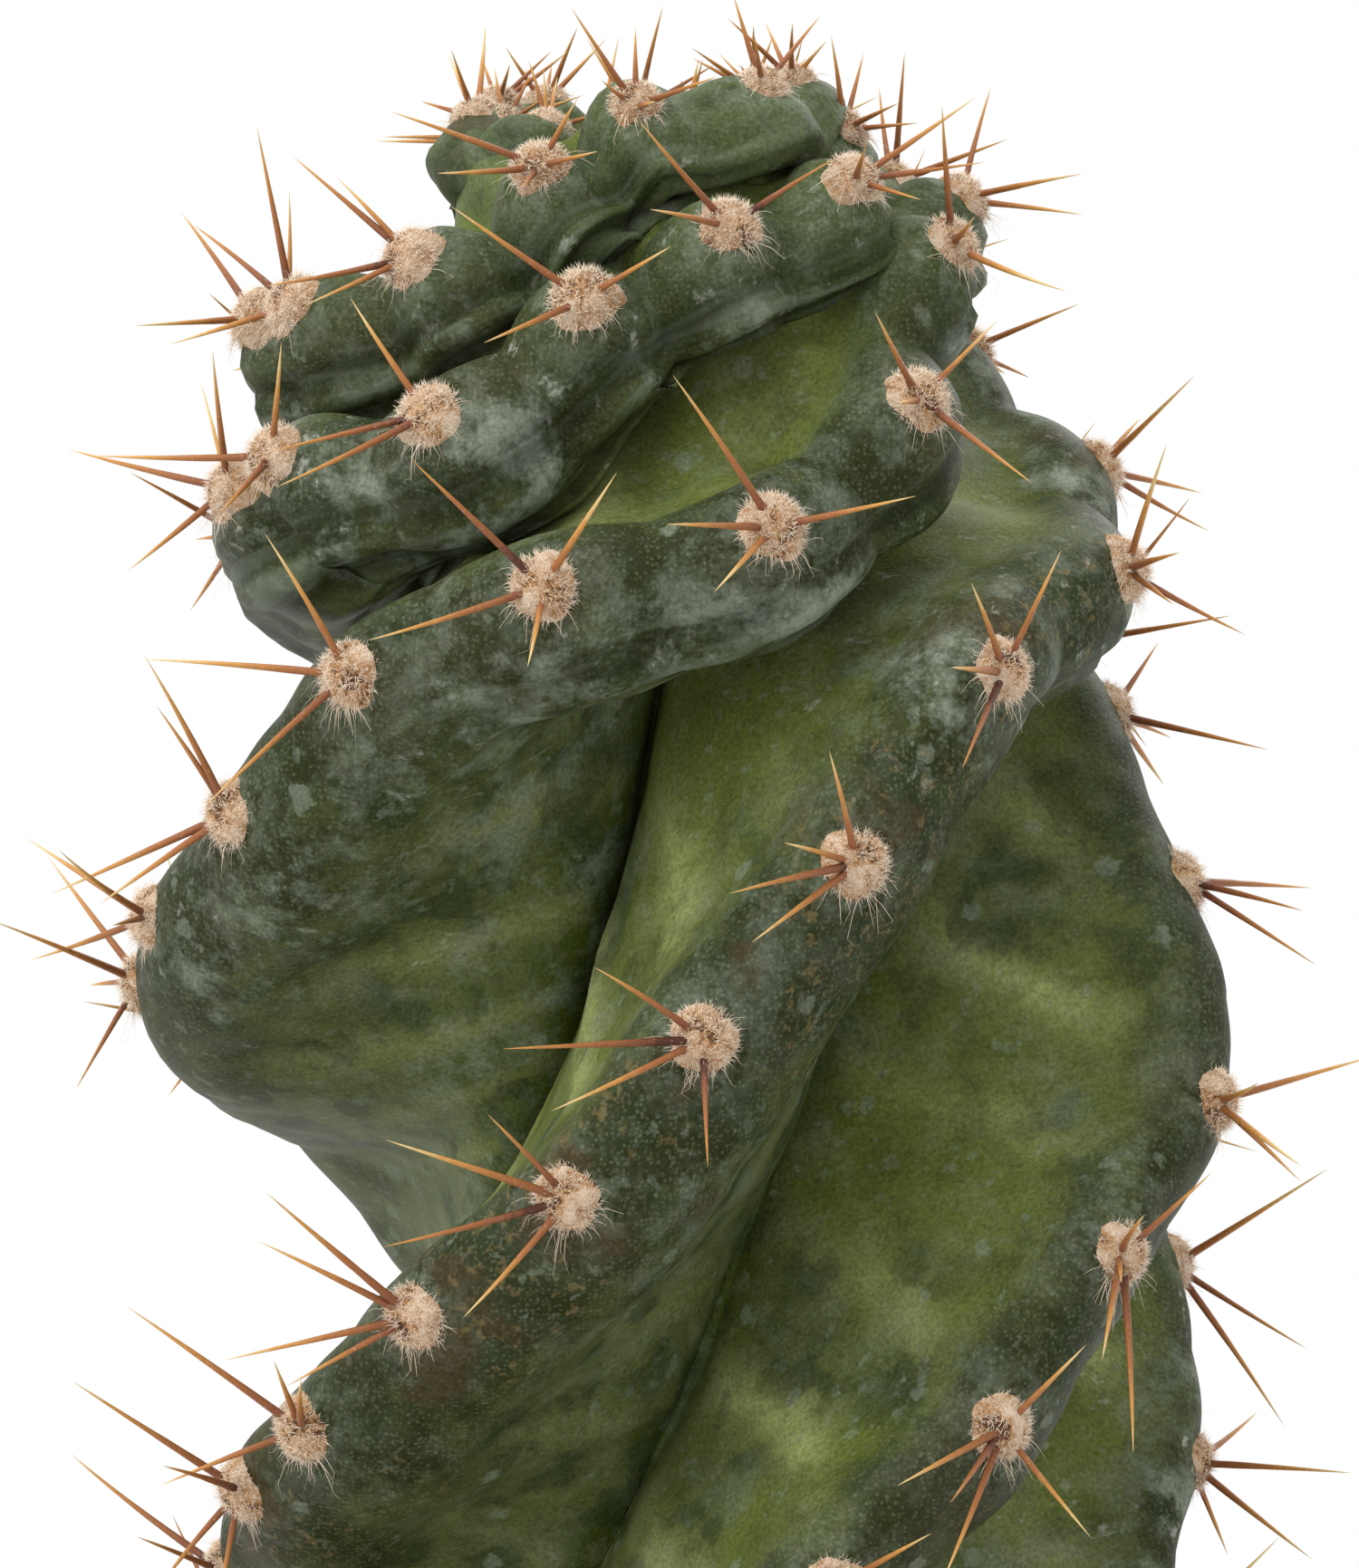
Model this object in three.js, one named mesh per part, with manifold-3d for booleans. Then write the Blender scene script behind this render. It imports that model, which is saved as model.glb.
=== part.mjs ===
// A spiral cactus that stands in the soil of a plain clay pot.
// Lengths are in millimetres and angles in degrees. +Z is up, and the origin is the middle of the pot's
// underside.
import * as THREE from "three";
import { mergeVertices } from "three/addons/utils/BufferGeometryUtils.js";
import Module from "manifold-3d";

const wasm = await Module();
wasm.setup();

const FULL_TURN = 360;
const DEGREE = Math.PI / 180;
const FIT_GAP = 0.3;

// Pot
const POT_HEIGHT = 135;
const POT_FOOT_RADIUS = 48;
const POT_SHOULDER_RADIUS = 67;
const POT_RIM_RADIUS = 75;
const POT_RIM_FOOT_RADIUS = 72;
const POT_RIM_HEIGHT = 30;
const POT_WALL = 6;
const POT_FLOOR = 8;
const POT_EDGE = 1.5;
const DRAIN_RADIUS = 9;
const POT_SIDES = 56;

// Soil
const SOIL_LEVEL = 120;
const SOIL_SIDES = 48;
const SOIL_RINGS = [37, 44, 51, 58];
const SOIL_LUMP = 1.2;
const SOIL_EDGE_DROP = 1;
const SOIL_HOLE_SIDES = 40;

// Root end of the stem, round where it stands in the soil
const ROOT_DEPTH = 46;
const ROOT_RADIUS = 29;
const ROOT_TIP_RADIUS = 20;
const RIBS_START = 0;
const ROUND_END = 12;
const RIBS_FULL = 36;

// Stem: each curve gives its size against the height above the soil.
// Over the last 15 mm the stem closes, and the height counts on along the crest into the sunken tip.
const STEM_END = 226;
const CREST_RADIUS = [
  [-60, 40], [0, 40], [30, 44], [70, 44.3], [94, 49.9], [118, 50.9], [143, 48.8], [167, 46.3], [179, 42.5],
  [188, 37.5], [200, 30.5], [206, 25.5], [211, 21], [214, 18.5], [217, 14.5], [220, 10], [223, 5.5], [226, 0.5],
];
const CREST_RISE = [
  [-60, -60], [206, 206], [211, 211], [214, 213], [217, 213.4], [220, 211.6], [223, 209], [226, 208],
];
const VALLEY_RADIUS = [
  [-60, 22], [0, 22], [30, 20], [80, 19], [150, 18], [170, 17], [190, 16], [206, 15], [211, 13], [217, 8.5],
  [220, 6], [223, 3], [226, 0.3],
];
const VALLEY_LIFT = [
  [-60, 0], [100, 0], [150, 2], [175, 5], [190, 5], [200, 2], [206, -1], [211, -4], [217, -5], [220, -3.2],
  [226, 0],
];
const UPPER_HALF_WIDTH = [
  [-60, 4.5], [110, 4.5], [140, 5.5], [180, 5.5], [200, 5], [211, 4.6], [217, 3.4], [220, 2.4], [223, 1.3],
  [226, 0.1],
];
const LOWER_HALF_WIDTH = [
  [-60, 12], [60, 12], [110, 10.3], [150, 10], [180, 9], [200, 8], [211, 7], [217, 4.4], [220, 3],
  [223, 1.6], [226, 0.1],
];
const FOLD_DEPTH = [
  [-60, 0], [150, 0], [165, 1.6], [180, 3], [200, 4.2], [211, 3.8], [217, 2], [226, 0],
];
const AREOLE_STEP = [
  [-60, 21], [60, 20], [150, 20], [180, 18.5], [200, 15], [212, 11], [226, 8],
];
const AXIS_OFFSET = [
  [-60, 3], [0, 3], [70, 2], [120, 0], [170, -2.3], [206, -3.6], [226, -7],
];

// Ribs, counter-clockwise from above. A crest passes through [turn, height]: its start in the soil, then the
// areoles whose places are known, then its end in the tip. The valley on its clockwise side runs at a share
// of the turn to the next rib on that side. By height, swell widens a crest and lift raises it. Where they are
// known, spines has the turns of an areole's spines round its pad, from the longest to the shortest.
const RIBS = [
  {
    crest: [
      [-90, -90], [212, 86.5], [226, 94.5], [242, 106.5], [259, 118], [273, 132], [290, 146.5], [310, 162],
      [338, 169.5], [366, 176.8], [394, 186.5], [490, 206], [580, 220], [640, 226],
    ],
    valleyShare: [[60, 0.38], [90, 0.28], [113, 0.25], [136, 0.3], [157, 0.42], [180, 0.45], [221, 0.5]],
    swell: [[170, 0], [181, -2.2], [190, -2], [204, -4], [211, -5], [216, -4], [226, 0]],
    lift: [[165, 0], [174, -0.9], [190, -0.9], [200, 0], [206, -0.3], [213, -4], [226, -3]],
    spines: {
      86.5: [-25, -85, 95], 94.5: [0, -90, 75], 106.5: [-5, 62, 14], 118: [20, 60, 100], 132: [42, 65, 3],
      146.5: [47, 67, -20], 162: [54, 88, 13], 169.5: [69, 27, 92], 176.8: [-153, 36, 172],
      186.5: [-118, -163, 56], 206: [165, 70, -160],
    },
  },
  {
    crest: [
      [-360, -88], [-57, 96], [-42, 110], [-24, 121.4], [-8, 139.2], [12, 152.4], [184, 190.5], [204, 192.5],
      [230, 197.5], [250, 205.5], [271, 211], [310, 213.5], [400, 221], [450, 226],
    ],
    valleyShare: [[0, 0.42], [221, 0.45]],
    swell: [[98, 0], [110, 1.3], [121, 2.2], [130, 2.2], [139, -1.5], [152, -5], [172, 0]],
    lift: [[210, 0], [226, -3]],
    spines: {
      96: [48, 89, 62], 110: [108, 69, 13], 121.4: [58, -126, 32], 139.2: [-162, 59, 87],
      152.4: [68, -161, -143], 190.5: [52, -133], 192.5: [-11, 58, 142], 197.5: [31, 113, 133],
      205.5: [45, 100, -161], 211: [40, -139, 170], 213.5: [14, -81, 100],
    },
  },
  {
    crest: [
      [-270, -85], [6, 82], [23, 98], [60, 125], [110, 150], [165, 169], [208, 176.5], [217, 180],
      [241, 184.5], [261, 194.5], [285, 200.5], [315, 204], [345, 212], [380, 217], [450, 222], [500, 226],
    ],
    valleyShare: [[0, 0.42], [221, 0.45]],
    swell: [[75, 0], [98, 0], [140, -3.5], [168, -6], [176.5, -0.8], [181, 0]],
    lift: [[204, 0], [212, -4], [226, -3]],
    spines: {
      82: [23, 61, -115], 98: [6, 110, 75], 176.5: [74, -60, 150], 180: [95, -153, -61], 184.5: [127, 104, 16],
      194.5: [108, 30, -114], 200.5: [41, 88, -89], 204: [-99, 90, -138],
    },
  },
  {
    crest: [
      [-180, -88], [0, 20], [90, 78], [123, 101], [142, 115], [182, 129], [197, 137], [217, 148.5],
      [235, 162], [258, 170.5], [284, 175.5], [308, 185.5], [330, 198], [358, 202], [449, 212], [530, 220],
      [580, 226],
    ],
    valleyShare: [[0, 0.4], [110, 0.35], [160, 0.42], [221, 0.5]],
    swell: [[60, 0], [100, -5], [119, -5], [129, -0.8], [134, 0], [195, 0], [202, 0.5], [208, 0]],
    lift: [[201, 0], [207, -4], [214, -4], [226, -3]],
    spines: {
      129: [-90, 20, 75], 137: [-101, 40, 88], 148.5: [84, -44, 100], 162: [52, 111, -25],
      170.5: [99, 28, -61], 175.5: [17, 79, -111], 185.5: [136, 25, 70], 198: [129, -2, 67],
      202: [103, -57, 166],
    },
  },
];

// Section across a rib: a rounded crest, then a flank down to the valley
const CREST_STEPS = 3;
const FLANK_STEPS = 2;
const CREST_SHOULDER = 0.55;
const CREST_SHOULDER_DEPTH = 0.45;
const CREST_DEPTH_SHARE = 0.4;
const FLANK_START_PULL = 0.35;
const FLANK_END_PULL = 0.3;
const LOWER_FLANK_TURN = 31;
const UPPER_FLANK_TURN = 12;
const FLANK_END_SLOPE = 0.15;
const FOLD_VARIETY = 0.4;
const FOLD_NARROWING = 0.06;
const TANGENT_REACH = 0.8;
const SLOPE_REACH = 2.3;

// Rows up the stem: the length of crest from row to row, closer where the ribs are folded
const ROW_STEP = [
  [-60, 12.5], [145, 12], [170, 5.8], [200, 4.1], [226, 2.8],
];
const ROW_SEARCH_STEP = 0.2;
const ROW_END_GAP = 0.6;

// Areole pads
const FIRST_AREOLE = 14;
const PAD_SIDES = 6;
const PAD_RADIUS = 3.3;
const PAD_HEIGHT = 1.6;
const PAD_SHOULDER = 0.5;
const PAD_ROOT = 6;
const PAD_SHRINK_START = 195;
const PAD_SHRINK_LENGTH = 31;
const PAD_SHRINK = 0.4;

// Spines: their turns round the pad from the rib's upper side where they aren't known, their lift off the rib,
// and their lengths from the longest to the shortest. Growth is a spine's share of its full length by height.
const SPINE_SIDES = 3;
const SPINE_RADIUS = 0.55;
const SPINE_ROOT = 1.6;
const SPINE_OFFSET = 1.5;
const SPINE_TURNS = [12, 72, -80];
const SPINE_TURN_SPREAD = 18;
const SPINE_LENGTHS = [17, 15.5, 12.5];
const SPINE_LENGTH_SPREAD = 1.2;
const SPINE_LIFT = 33;
const SPINE_LIFT_SPREAD = 7;
const YOUNG_LIFT = 22;
const GROWTH = [
  [160, 1], [180, 0.86], [195, 0.76], [206, 0.68], [212, 0.5], [220, 0.36], [226, 0.25],
];
const THIRD_SPINE_EVERY = 2;
const SEED_STEPS = 4;

// Repeatable irregularity
const CHANCE_SCALE = 12.9898;
const CHANCE_SHIFT = 78.233;
const CHANCE_STRETCH = 43758.5453;

function chance(seed) {
  const stretched = Math.sin(seed * CHANCE_SCALE + CHANCE_SHIFT) * CHANCE_STRETCH;
  return stretched - Math.floor(stretched);
}

function spread(seed) {
  return 2 * chance(seed) - 1;
}

function clamp01(value) {
  return Math.min(Math.max(value, 0), 1);
}

function smoothStep(value) {
  const t = clamp01(value);
  return t * t * (3 - 2 * t);
}

// A smooth curve through stations that doesn't overshoot them
function curveThrough(stations) {
  const last = stations.length - 1;
  const rises = [];
  for (let i = 0; i < last; i += 1) {
    const run = stations[i + 1][0] - stations[i][0];
    rises.push((stations[i + 1][1] - stations[i][1]) / run);
  }
  const slopes = stations.map((station, i) => {
    if (i === 0) return rises[0];
    if (i === last) return rises[last - 1];
    const before = rises[i - 1];
    const after = rises[i];
    return before * after <= 0 ? 0 : (2 * before * after) / (before + after);
  });
  return (x) => {
    if (x <= stations[0][0]) return stations[0][1];
    if (x >= stations[last][0]) return stations[last][1];
    let i = 0;
    while (x > stations[i + 1][0]) i += 1;
    const run = stations[i + 1][0] - stations[i][0];
    const t = (x - stations[i][0]) / run;
    const s = 1 - t;
    const start = (1 + 2 * t) * s * s * stations[i][1] + t * s * s * run * slopes[i];
    const end = t * t * (3 - 2 * t) * stations[i + 1][1] - t * t * s * run * slopes[i + 1];
    return start + end;
  };
}

const crestRadius = curveThrough(CREST_RADIUS);
const crestRise = curveThrough(CREST_RISE);
const valleyRadius = curveThrough(VALLEY_RADIUS);
const valleyLift = curveThrough(VALLEY_LIFT);
const upperHalfWidth = curveThrough(UPPER_HALF_WIDTH);
const lowerHalfWidth = curveThrough(LOWER_HALF_WIDTH);
const foldDepth = curveThrough(FOLD_DEPTH);
const areoleStep = curveThrough(AREOLE_STEP);
const axisOffset = curveThrough(AXIS_OFFSET);
const rowStep = curveThrough(ROW_STEP);
const growthAt = curveThrough(GROWTH);

const ribs = RIBS.map((rib, index) => ({
  index,
  turnAt: curveThrough(rib.crest.map(([turn, height]) => [height, turn])),
  shareAt: curveThrough(rib.valleyShare),
  swellAt: curveThrough(rib.swell),
  liftAt: curveThrough(rib.lift),
  spines: rib.spines,
  knownHeights: rib.crest.slice(1, -1).map(([, height]) => height),
}));

function neighbour(rib, step) {
  return ribs[(rib.index + step + ribs.length) % ribs.length];
}

function onStem(radius, turn, rise, height) {
  const angle = turn * DEGREE;
  const x = axisOffset(height) + radius * Math.cos(angle);
  return new THREE.Vector3(x, radius * Math.sin(angle), SOIL_LEVEL + rise);
}

// The ribs grow out of the round root end
function ribbedRadius(curve, height) {
  const share = smoothStep((height - RIBS_START) / (RIBS_FULL - RIBS_START));
  return ROOT_RADIUS + (curve(height) - ROOT_RADIUS) * share;
}

function crestPoint(rib, height) {
  const radius = ribbedRadius(crestRadius, height) + rib.swellAt(height);
  return onStem(radius, rib.turnAt(height), crestRise(height) + rib.liftAt(height), height);
}

// The crest's directions at a height: along it, out of the stem, and across to its lower side
function crestFrame(rib, height) {
  const along = crestPoint(rib, Math.min(height + TANGENT_REACH, STEM_END));
  along.sub(crestPoint(rib, height - TANGENT_REACH)).normalize();
  const radiusFall = crestRadius(height - SLOPE_REACH) - crestRadius(height + SLOPE_REACH);
  const rise = crestRise(height + SLOPE_REACH) - crestRise(height - SLOPE_REACH);
  const angle = rib.turnAt(height) * DEGREE;
  const out = new THREE.Vector3(Math.cos(angle) * rise, Math.sin(angle) * rise, radiusFall);
  out.addScaledVector(along, -out.dot(along)).normalize();
  return { along, out, across: new THREE.Vector3().crossVectors(along, out) };
}

// The valley on the clockwise side of a rib
function valleyPoint(rib, height) {
  const before = neighbour(rib, -1);
  const gap = (rib.turnAt(height) - before.turnAt(height) + 2 * FULL_TURN) % FULL_TURN;
  const turn = rib.turnAt(height) - rib.shareAt(height) * gap;
  const rise = crestRise(height) + valleyLift(height) + (rib.liftAt(height) + before.liftAt(height)) / 2;
  return onStem(ribbedRadius(valleyRadius, height), turn, rise, height);
}

// Heights of a rib's areoles from the soil up, even where none is known
function areoleHeights(rib) {
  const heights = [rib.knownHeights[0]];
  rib.knownHeights.slice(1).forEach((height, i) => {
    const from = rib.knownHeights[i];
    const count = stepsBetween(rib, from, height);
    for (let n = 1; n <= count; n += 1) heights.push(from + ((height - from) * n) / count);
  });
  let height = heights[0];
  while (height > FIRST_AREOLE) {
    height = areoleBelow(rib, height);
    if (height > FIRST_AREOLE) heights.unshift(height);
  }
  return heights;
}

const SEARCH_STEP = 0.25;
const SINGLE_STEP_LIMIT = 1.75;

function stepsBetween(rib, from, to) {
  let length = 0;
  for (let height = from; height < to; height += SEARCH_STEP) {
    length += crestPoint(rib, height).distanceTo(crestPoint(rib, Math.min(height + SEARCH_STEP, to)));
  }
  const steps = length / areoleStep((from + to) / 2);
  return steps < SINGLE_STEP_LIMIT ? 1 : Math.round(steps);
}

function areoleBelow(rib, height) {
  const start = crestPoint(rib, height);
  let below = height;
  while (start.distanceTo(crestPoint(rib, below)) < areoleStep(below)) below -= SEARCH_STEP;
  return below;
}

ribs.forEach((rib) => {
  rib.areoles = areoleHeights(rib);
});

// Count of areoles along a rib, whole at each areole
function areolePhase(rib, height) {
  const list = rib.areoles;
  let i = 0;
  while (i < list.length - 2 && height > list[i + 1]) i += 1;
  return i + (height - list[i]) / (list[i + 1] - list[i]);
}

// Depth of the sharp folds between the round lobes that carry the areoles
function foldAt(rib, height) {
  const phase = areolePhase(rib, height);
  const wave = 1 - Math.abs(Math.cos(phase * Math.PI));
  return foldDepth(height) * (1 + FOLD_VARIETY * spread(Math.floor(phase) + rib.index)) * wave;
}

function step(point, ...moves) {
  const moved = point.clone();
  moves.forEach(([distance, direction]) => moved.addScaledVector(direction, distance));
  return moved;
}

function bezier(points, t) {
  return new THREE.CubicBezierCurve3(...points).getPoint(t);
}

// Half a section of a rib from its crest to its valley; side is 1 below the crest and -1 above it
function halfSection(rib, height, side) {
  const { out, across } = crestFrame(rib, height);
  const fold = foldAt(rib, height);
  const crest = step(crestPoint(rib, height), [-fold, out]);
  const valley = valleyPoint(side > 0 ? neighbour(rib, 1) : rib, height);
  const fullWidth = side > 0 ? lowerHalfWidth(height) : upperHalfWidth(height);
  const width = fullWidth * (1 - FOLD_NARROWING * fold);
  const relief = ribbedRadius(crestRadius, height) - ribbedRadius(valleyRadius, height);
  const depth = Math.min(width, CREST_DEPTH_SHARE * relief);
  const shoulder = step(crest, [-depth, out], [side * width, across]);
  const cap = [
    crest,
    step(crest, [side * CREST_SHOULDER * width, across]),
    step(crest, [side * width, across], [-CREST_SHOULDER_DEPTH * depth, out]),
    shoulder,
  ];
  const reach = shoulder.distanceTo(valley);
  const flankTurn = side > 0 ? LOWER_FLANK_TURN : -UPPER_FLANK_TURN;
  const angle = (rib.turnAt(height) + flankTurn) * DEGREE;
  const rising = new THREE.Vector3(Math.cos(angle), Math.sin(angle), -side * FLANK_END_SLOPE);
  const flank = [
    shoulder,
    step(shoulder, [-FLANK_START_PULL * reach, out]),
    step(valley, [FLANK_END_PULL * reach, rising]),
    valley,
  ];
  const points = [];
  for (let i = 0; i < CREST_STEPS; i += 1) points.push(bezier(cap, i / CREST_STEPS));
  for (let i = 0; i < FLANK_STEPS; i += 1) points.push(bezier(flank, i / FLANK_STEPS));
  points.push(valley);
  return points;
}

// A whole row round the stem, turning into a plain circle where the stem meets the soil
function stemRow(height) {
  const row = ribs.flatMap((rib) => {
    const upper = halfSection(rib, height, -1).reverse();
    const lower = halfSection(rib, height, 1);
    return [...upper.slice(0, -1), ...lower.slice(0, -1)];
  });
  const ribbed = smoothStep((height - RIBS_START) / (ROUND_END - RIBS_START));
  const axis = axisOffset(height);
  return row.map((point) => {
    const turn = Math.atan2(point.y, point.x - axis) / DEGREE;
    return onStem(ROOT_RADIUS, turn, height, height).lerp(point, ribbed);
  });
}

// Heights of the rows, a set length of crest apart
function rowHeights() {
  const heights = [RIBS_START];
  let travelled = 0;
  for (let height = RIBS_START; height < STEM_END - ROW_END_GAP; height += ROW_SEARCH_STEP) {
    ribs.forEach((rib) => {
      const moved = crestPoint(rib, height).distanceTo(crestPoint(rib, height + ROW_SEARCH_STEP));
      travelled += moved / rowStep(height) / ribs.length;
    });
    if (travelled >= heights.length) heights.push(height + ROW_SEARCH_STEP);
  }
  return heights;
}

// Closed surface over rows of equal length, with a point at each end
function closedSkin(rows, bottom, top) {
  const width = rows[0].length;
  const positions = [bottom, ...rows.flat(), top].flatMap((point) => point.toArray());
  const end = rows.length * width + 1;
  const indices = [];
  for (let j = 0; j < width; j += 1) {
    const next = (j + 1) % width;
    indices.push(0, 1 + next, 1 + j);
    indices.push(end, end - width + j, end - width + next);
    for (let i = 1; i < rows.length; i += 1) {
      const below = 1 + (i - 1) * width;
      const above = below + width;
      indices.push(below + j, below + next, above + next);
      indices.push(below + j, above + next, above + j);
    }
  }
  const geometry = new THREE.BufferGeometry();
  geometry.setAttribute("position", new THREE.Float32BufferAttribute(positions, 3));
  geometry.setIndex(indices);
  return geometry;
}

function rootRow(radius, height) {
  const row = stemRow(RIBS_START);
  return row.map((point) => {
    const turn = Math.atan2(point.y, point.x - axisOffset(RIBS_START)) / DEGREE;
    return onStem(radius, turn, height, RIBS_START);
  });
}

function stemSkin() {
  const rows = rowHeights().map(stemRow);
  const root = [rootRow(ROOT_TIP_RADIUS, -ROOT_DEPTH), rootRow(ROOT_RADIUS, -ROOT_DEPTH / 2)];
  const bottom = onStem(0, 0, -ROOT_DEPTH, RIBS_START);
  const top = onStem(0, 0, crestRise(STEM_END) + ribs[0].liftAt(STEM_END), STEM_END);
  return closedSkin([...root, ...rows], bottom, top);
}

function ring(centre, frame, radius, lift, sides) {
  return Array.from({ length: sides }, (unused, i) => {
    const angle = (2 * Math.PI * i) / sides;
    return step(
      centre,
      [lift, frame.out],
      [radius * Math.cos(angle), frame.along],
      [-radius * Math.sin(angle), frame.across],
    );
  });
}

// A low felted cushion on the crest
function padSkin(centre, frame, size) {
  const edge = ring(centre, frame, PAD_RADIUS * size, PAD_SHOULDER * size, PAD_SIDES);
  const root = step(centre, [-PAD_ROOT * size, frame.out]);
  return closedSkin([edge], root, step(centre, [PAD_HEIGHT * size, frame.out]));
}

// A straight needle from inside the pad to its point
function spineSkin(centre, direction, length) {
  const root = step(centre, [-SPINE_ROOT, direction]);
  const side = new THREE.Vector3(0, 0, 1).cross(direction).normalize();
  const frame = { out: direction, along: side, across: new THREE.Vector3().crossVectors(side, direction) };
  const base = ring(root, frame, SPINE_RADIUS, 0, SPINE_SIDES);
  return closedSkin([base], root, step(centre, [length, direction]));
}

function spineSkins(centre, frame, size, seed, height, count, known) {
  const growth = growthAt(height);
  return (known ?? SPINE_TURNS).slice(0, count).map((usualTurn, i) => {
    const key = seed + i / SEED_STEPS;
    const turn = (usualTurn + (known ? 0 : SPINE_TURN_SPREAD * spread(key))) * DEGREE;
    const lift = (SPINE_LIFT + YOUNG_LIFT * (1 - growth) + SPINE_LIFT_SPREAD * spread(key + 1)) * DEGREE;
    const length = (SPINE_LENGTHS[i] + SPINE_LENGTH_SPREAD * spread(key + 2)) * growth;
    const level = step(new THREE.Vector3(), [-Math.cos(turn), frame.across], [-Math.sin(turn), frame.along]);
    const direction = step(new THREE.Vector3(), [Math.sin(lift), frame.out], [Math.cos(lift), level]);
    const foot = step(centre, [SPINE_OFFSET * size, level], [SPINE_OFFSET * size / 2, frame.out]);
    return spineSkin(foot, direction, length);
  });
}

function toSolid(geometry) {
  const plain = geometry.clone();
  plain.deleteAttribute("normal");
  plain.deleteAttribute("uv");
  const merged = mergeVertices(plain);
  const mesh = new wasm.Mesh({
    numProp: 3,
    vertProperties: new Float32Array(merged.attributes.position.array),
    triVerts: new Uint32Array(merged.index.array),
  });
  return new wasm.Manifold(mesh);
}

function toGeometry(solid) {
  const mesh = solid.getMesh();
  const geometry = new THREE.BufferGeometry();
  geometry.setAttribute("position", new THREE.BufferAttribute(mesh.vertProperties, mesh.numProp));
  geometry.setIndex(new THREE.BufferAttribute(mesh.triVerts, 1));
  geometry.computeVertexNormals();
  return geometry;
}

function fused(solids) {
  let rest = solids;
  while (rest.length > 1) {
    const pairs = [];
    for (let i = 0; i < rest.length; i += 2) {
      pairs.push(i + 1 < rest.length ? rest[i].add(rest[i + 1]) : rest[i]);
    }
    rest = pairs;
  }
  return rest[0];
}

const AREOLE_SEED_STRIDE = 40;

// The cactus grew as one piece: stem, areole pads and spines
function cactusGeometry() {
  const growth = ribs.flatMap((rib) => rib.areoles.flatMap((height, i) => {
    const centre = crestPoint(rib, height);
    const frame = crestFrame(rib, height);
    const size = 1 - PAD_SHRINK * clamp01((height - PAD_SHRINK_START) / PAD_SHRINK_LENGTH);
    const count = i % THIRD_SPINE_EVERY === 0 ? SPINE_TURNS.length : SPINE_TURNS.length - 1;
    const seed = rib.index * AREOLE_SEED_STRIDE + i;
    const known = rib.spines[height];
    return [padSkin(centre, frame, size), ...spineSkins(centre, frame, size, seed, height, count, known)];
  }));
  return toGeometry(fused([toSolid(stemSkin()), ...growth.map(toSolid)]));
}

function turned(profile, sides) {
  const points = profile.map(([radius, height]) => new THREE.Vector2(radius, height));
  return new THREE.LatheGeometry(points, sides).rotateX(Math.PI / 2);
}

function wallRadius(height) {
  const share = height / (POT_HEIGHT - POT_RIM_HEIGHT);
  return POT_FOOT_RADIUS + (POT_SHOULDER_RADIUS - POT_FOOT_RADIUS) * share;
}

function innerRadius(height) {
  return wallRadius(height) - POT_WALL;
}

// Tapered clay pot with a thicker rim and a drain hole in its floor
function potGeometry() {
  const rimFoot = POT_HEIGHT - POT_RIM_HEIGHT;
  const mouth = innerRadius(POT_HEIGHT);
  return turned([
    [DRAIN_RADIUS, 0],
    [POT_FOOT_RADIUS - POT_EDGE, 0],
    [POT_FOOT_RADIUS, POT_EDGE],
    [POT_SHOULDER_RADIUS, rimFoot],
    [POT_RIM_FOOT_RADIUS, rimFoot],
    [POT_RIM_FOOT_RADIUS + POT_EDGE / 2, rimFoot + POT_EDGE],
    [POT_RIM_RADIUS, POT_HEIGHT - POT_EDGE],
    [POT_RIM_RADIUS - POT_EDGE, POT_HEIGHT],
    [mouth + POT_EDGE, POT_HEIGHT],
    [mouth, POT_HEIGHT - POT_EDGE],
    [innerRadius(POT_FLOOR), POT_FLOOR],
    [DRAIN_RADIUS, POT_FLOOR],
    [DRAIN_RADIUS, 0],
  ], POT_SIDES);
}

// Soil with a lumpy top and a plain round hole for the stem
function soilGeometry() {
  const rim = innerRadius(SOIL_LEVEL) - FIT_GAP;
  const floor = POT_FLOOR + FIT_GAP;
  const geometry = turned([
    [0, floor],
    [innerRadius(floor) - FIT_GAP, floor],
    [rim, SOIL_LEVEL - SOIL_EDGE_DROP],
    ...SOIL_RINGS.toReversed().map((radius) => [radius, SOIL_LEVEL]),
    [0, SOIL_LEVEL],
  ], SOIL_SIDES);
  const position = geometry.getAttribute("position");
  const point = new THREE.Vector3();
  for (let i = 0; i < position.count; i += 1) {
    point.fromBufferAttribute(position, i);
    const reach = Math.hypot(point.x, point.y);
    const onTop = point.z > SOIL_LEVEL - SOIL_EDGE_DROP / 2;
    const seed = Math.round(reach) + Math.round(Math.atan2(point.y, point.x) / DEGREE) / SOIL_SIDES;
    if (onTop && reach > 1) position.setZ(i, point.z + SOIL_LUMP * spread(seed));
  }
  const holeRadius = ROOT_RADIUS + FIT_GAP;
  const hole = turned([
    [0, SOIL_LEVEL - ROOT_DEPTH - FIT_GAP],
    [ROOT_TIP_RADIUS + FIT_GAP, SOIL_LEVEL - ROOT_DEPTH - FIT_GAP],
    [holeRadius, SOIL_LEVEL - ROOT_DEPTH / 2],
    [holeRadius, POT_HEIGHT],
    [0, POT_HEIGHT],
  ], SOIL_HOLE_SIDES).translate(axisOffset(RIBS_START), 0, 0);
  return toGeometry(toSolid(geometry).subtract(toSolid(hole)));
}

function named(name, geometry, color, roughness) {
  const mesh = new THREE.Mesh(geometry, new THREE.MeshStandardMaterial({ color, roughness, metalness: 0 }));
  mesh.name = name;
  return mesh;
}

const part = new THREE.Group();
part.add(named("pot", potGeometry(), 0xb5643c, 0.85));
part.add(named("soil", soilGeometry(), 0x3a2c22, 1));
part.add(named("cactus", cactusGeometry(), 0x4a6b45, 0.55));

export default part;
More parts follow.
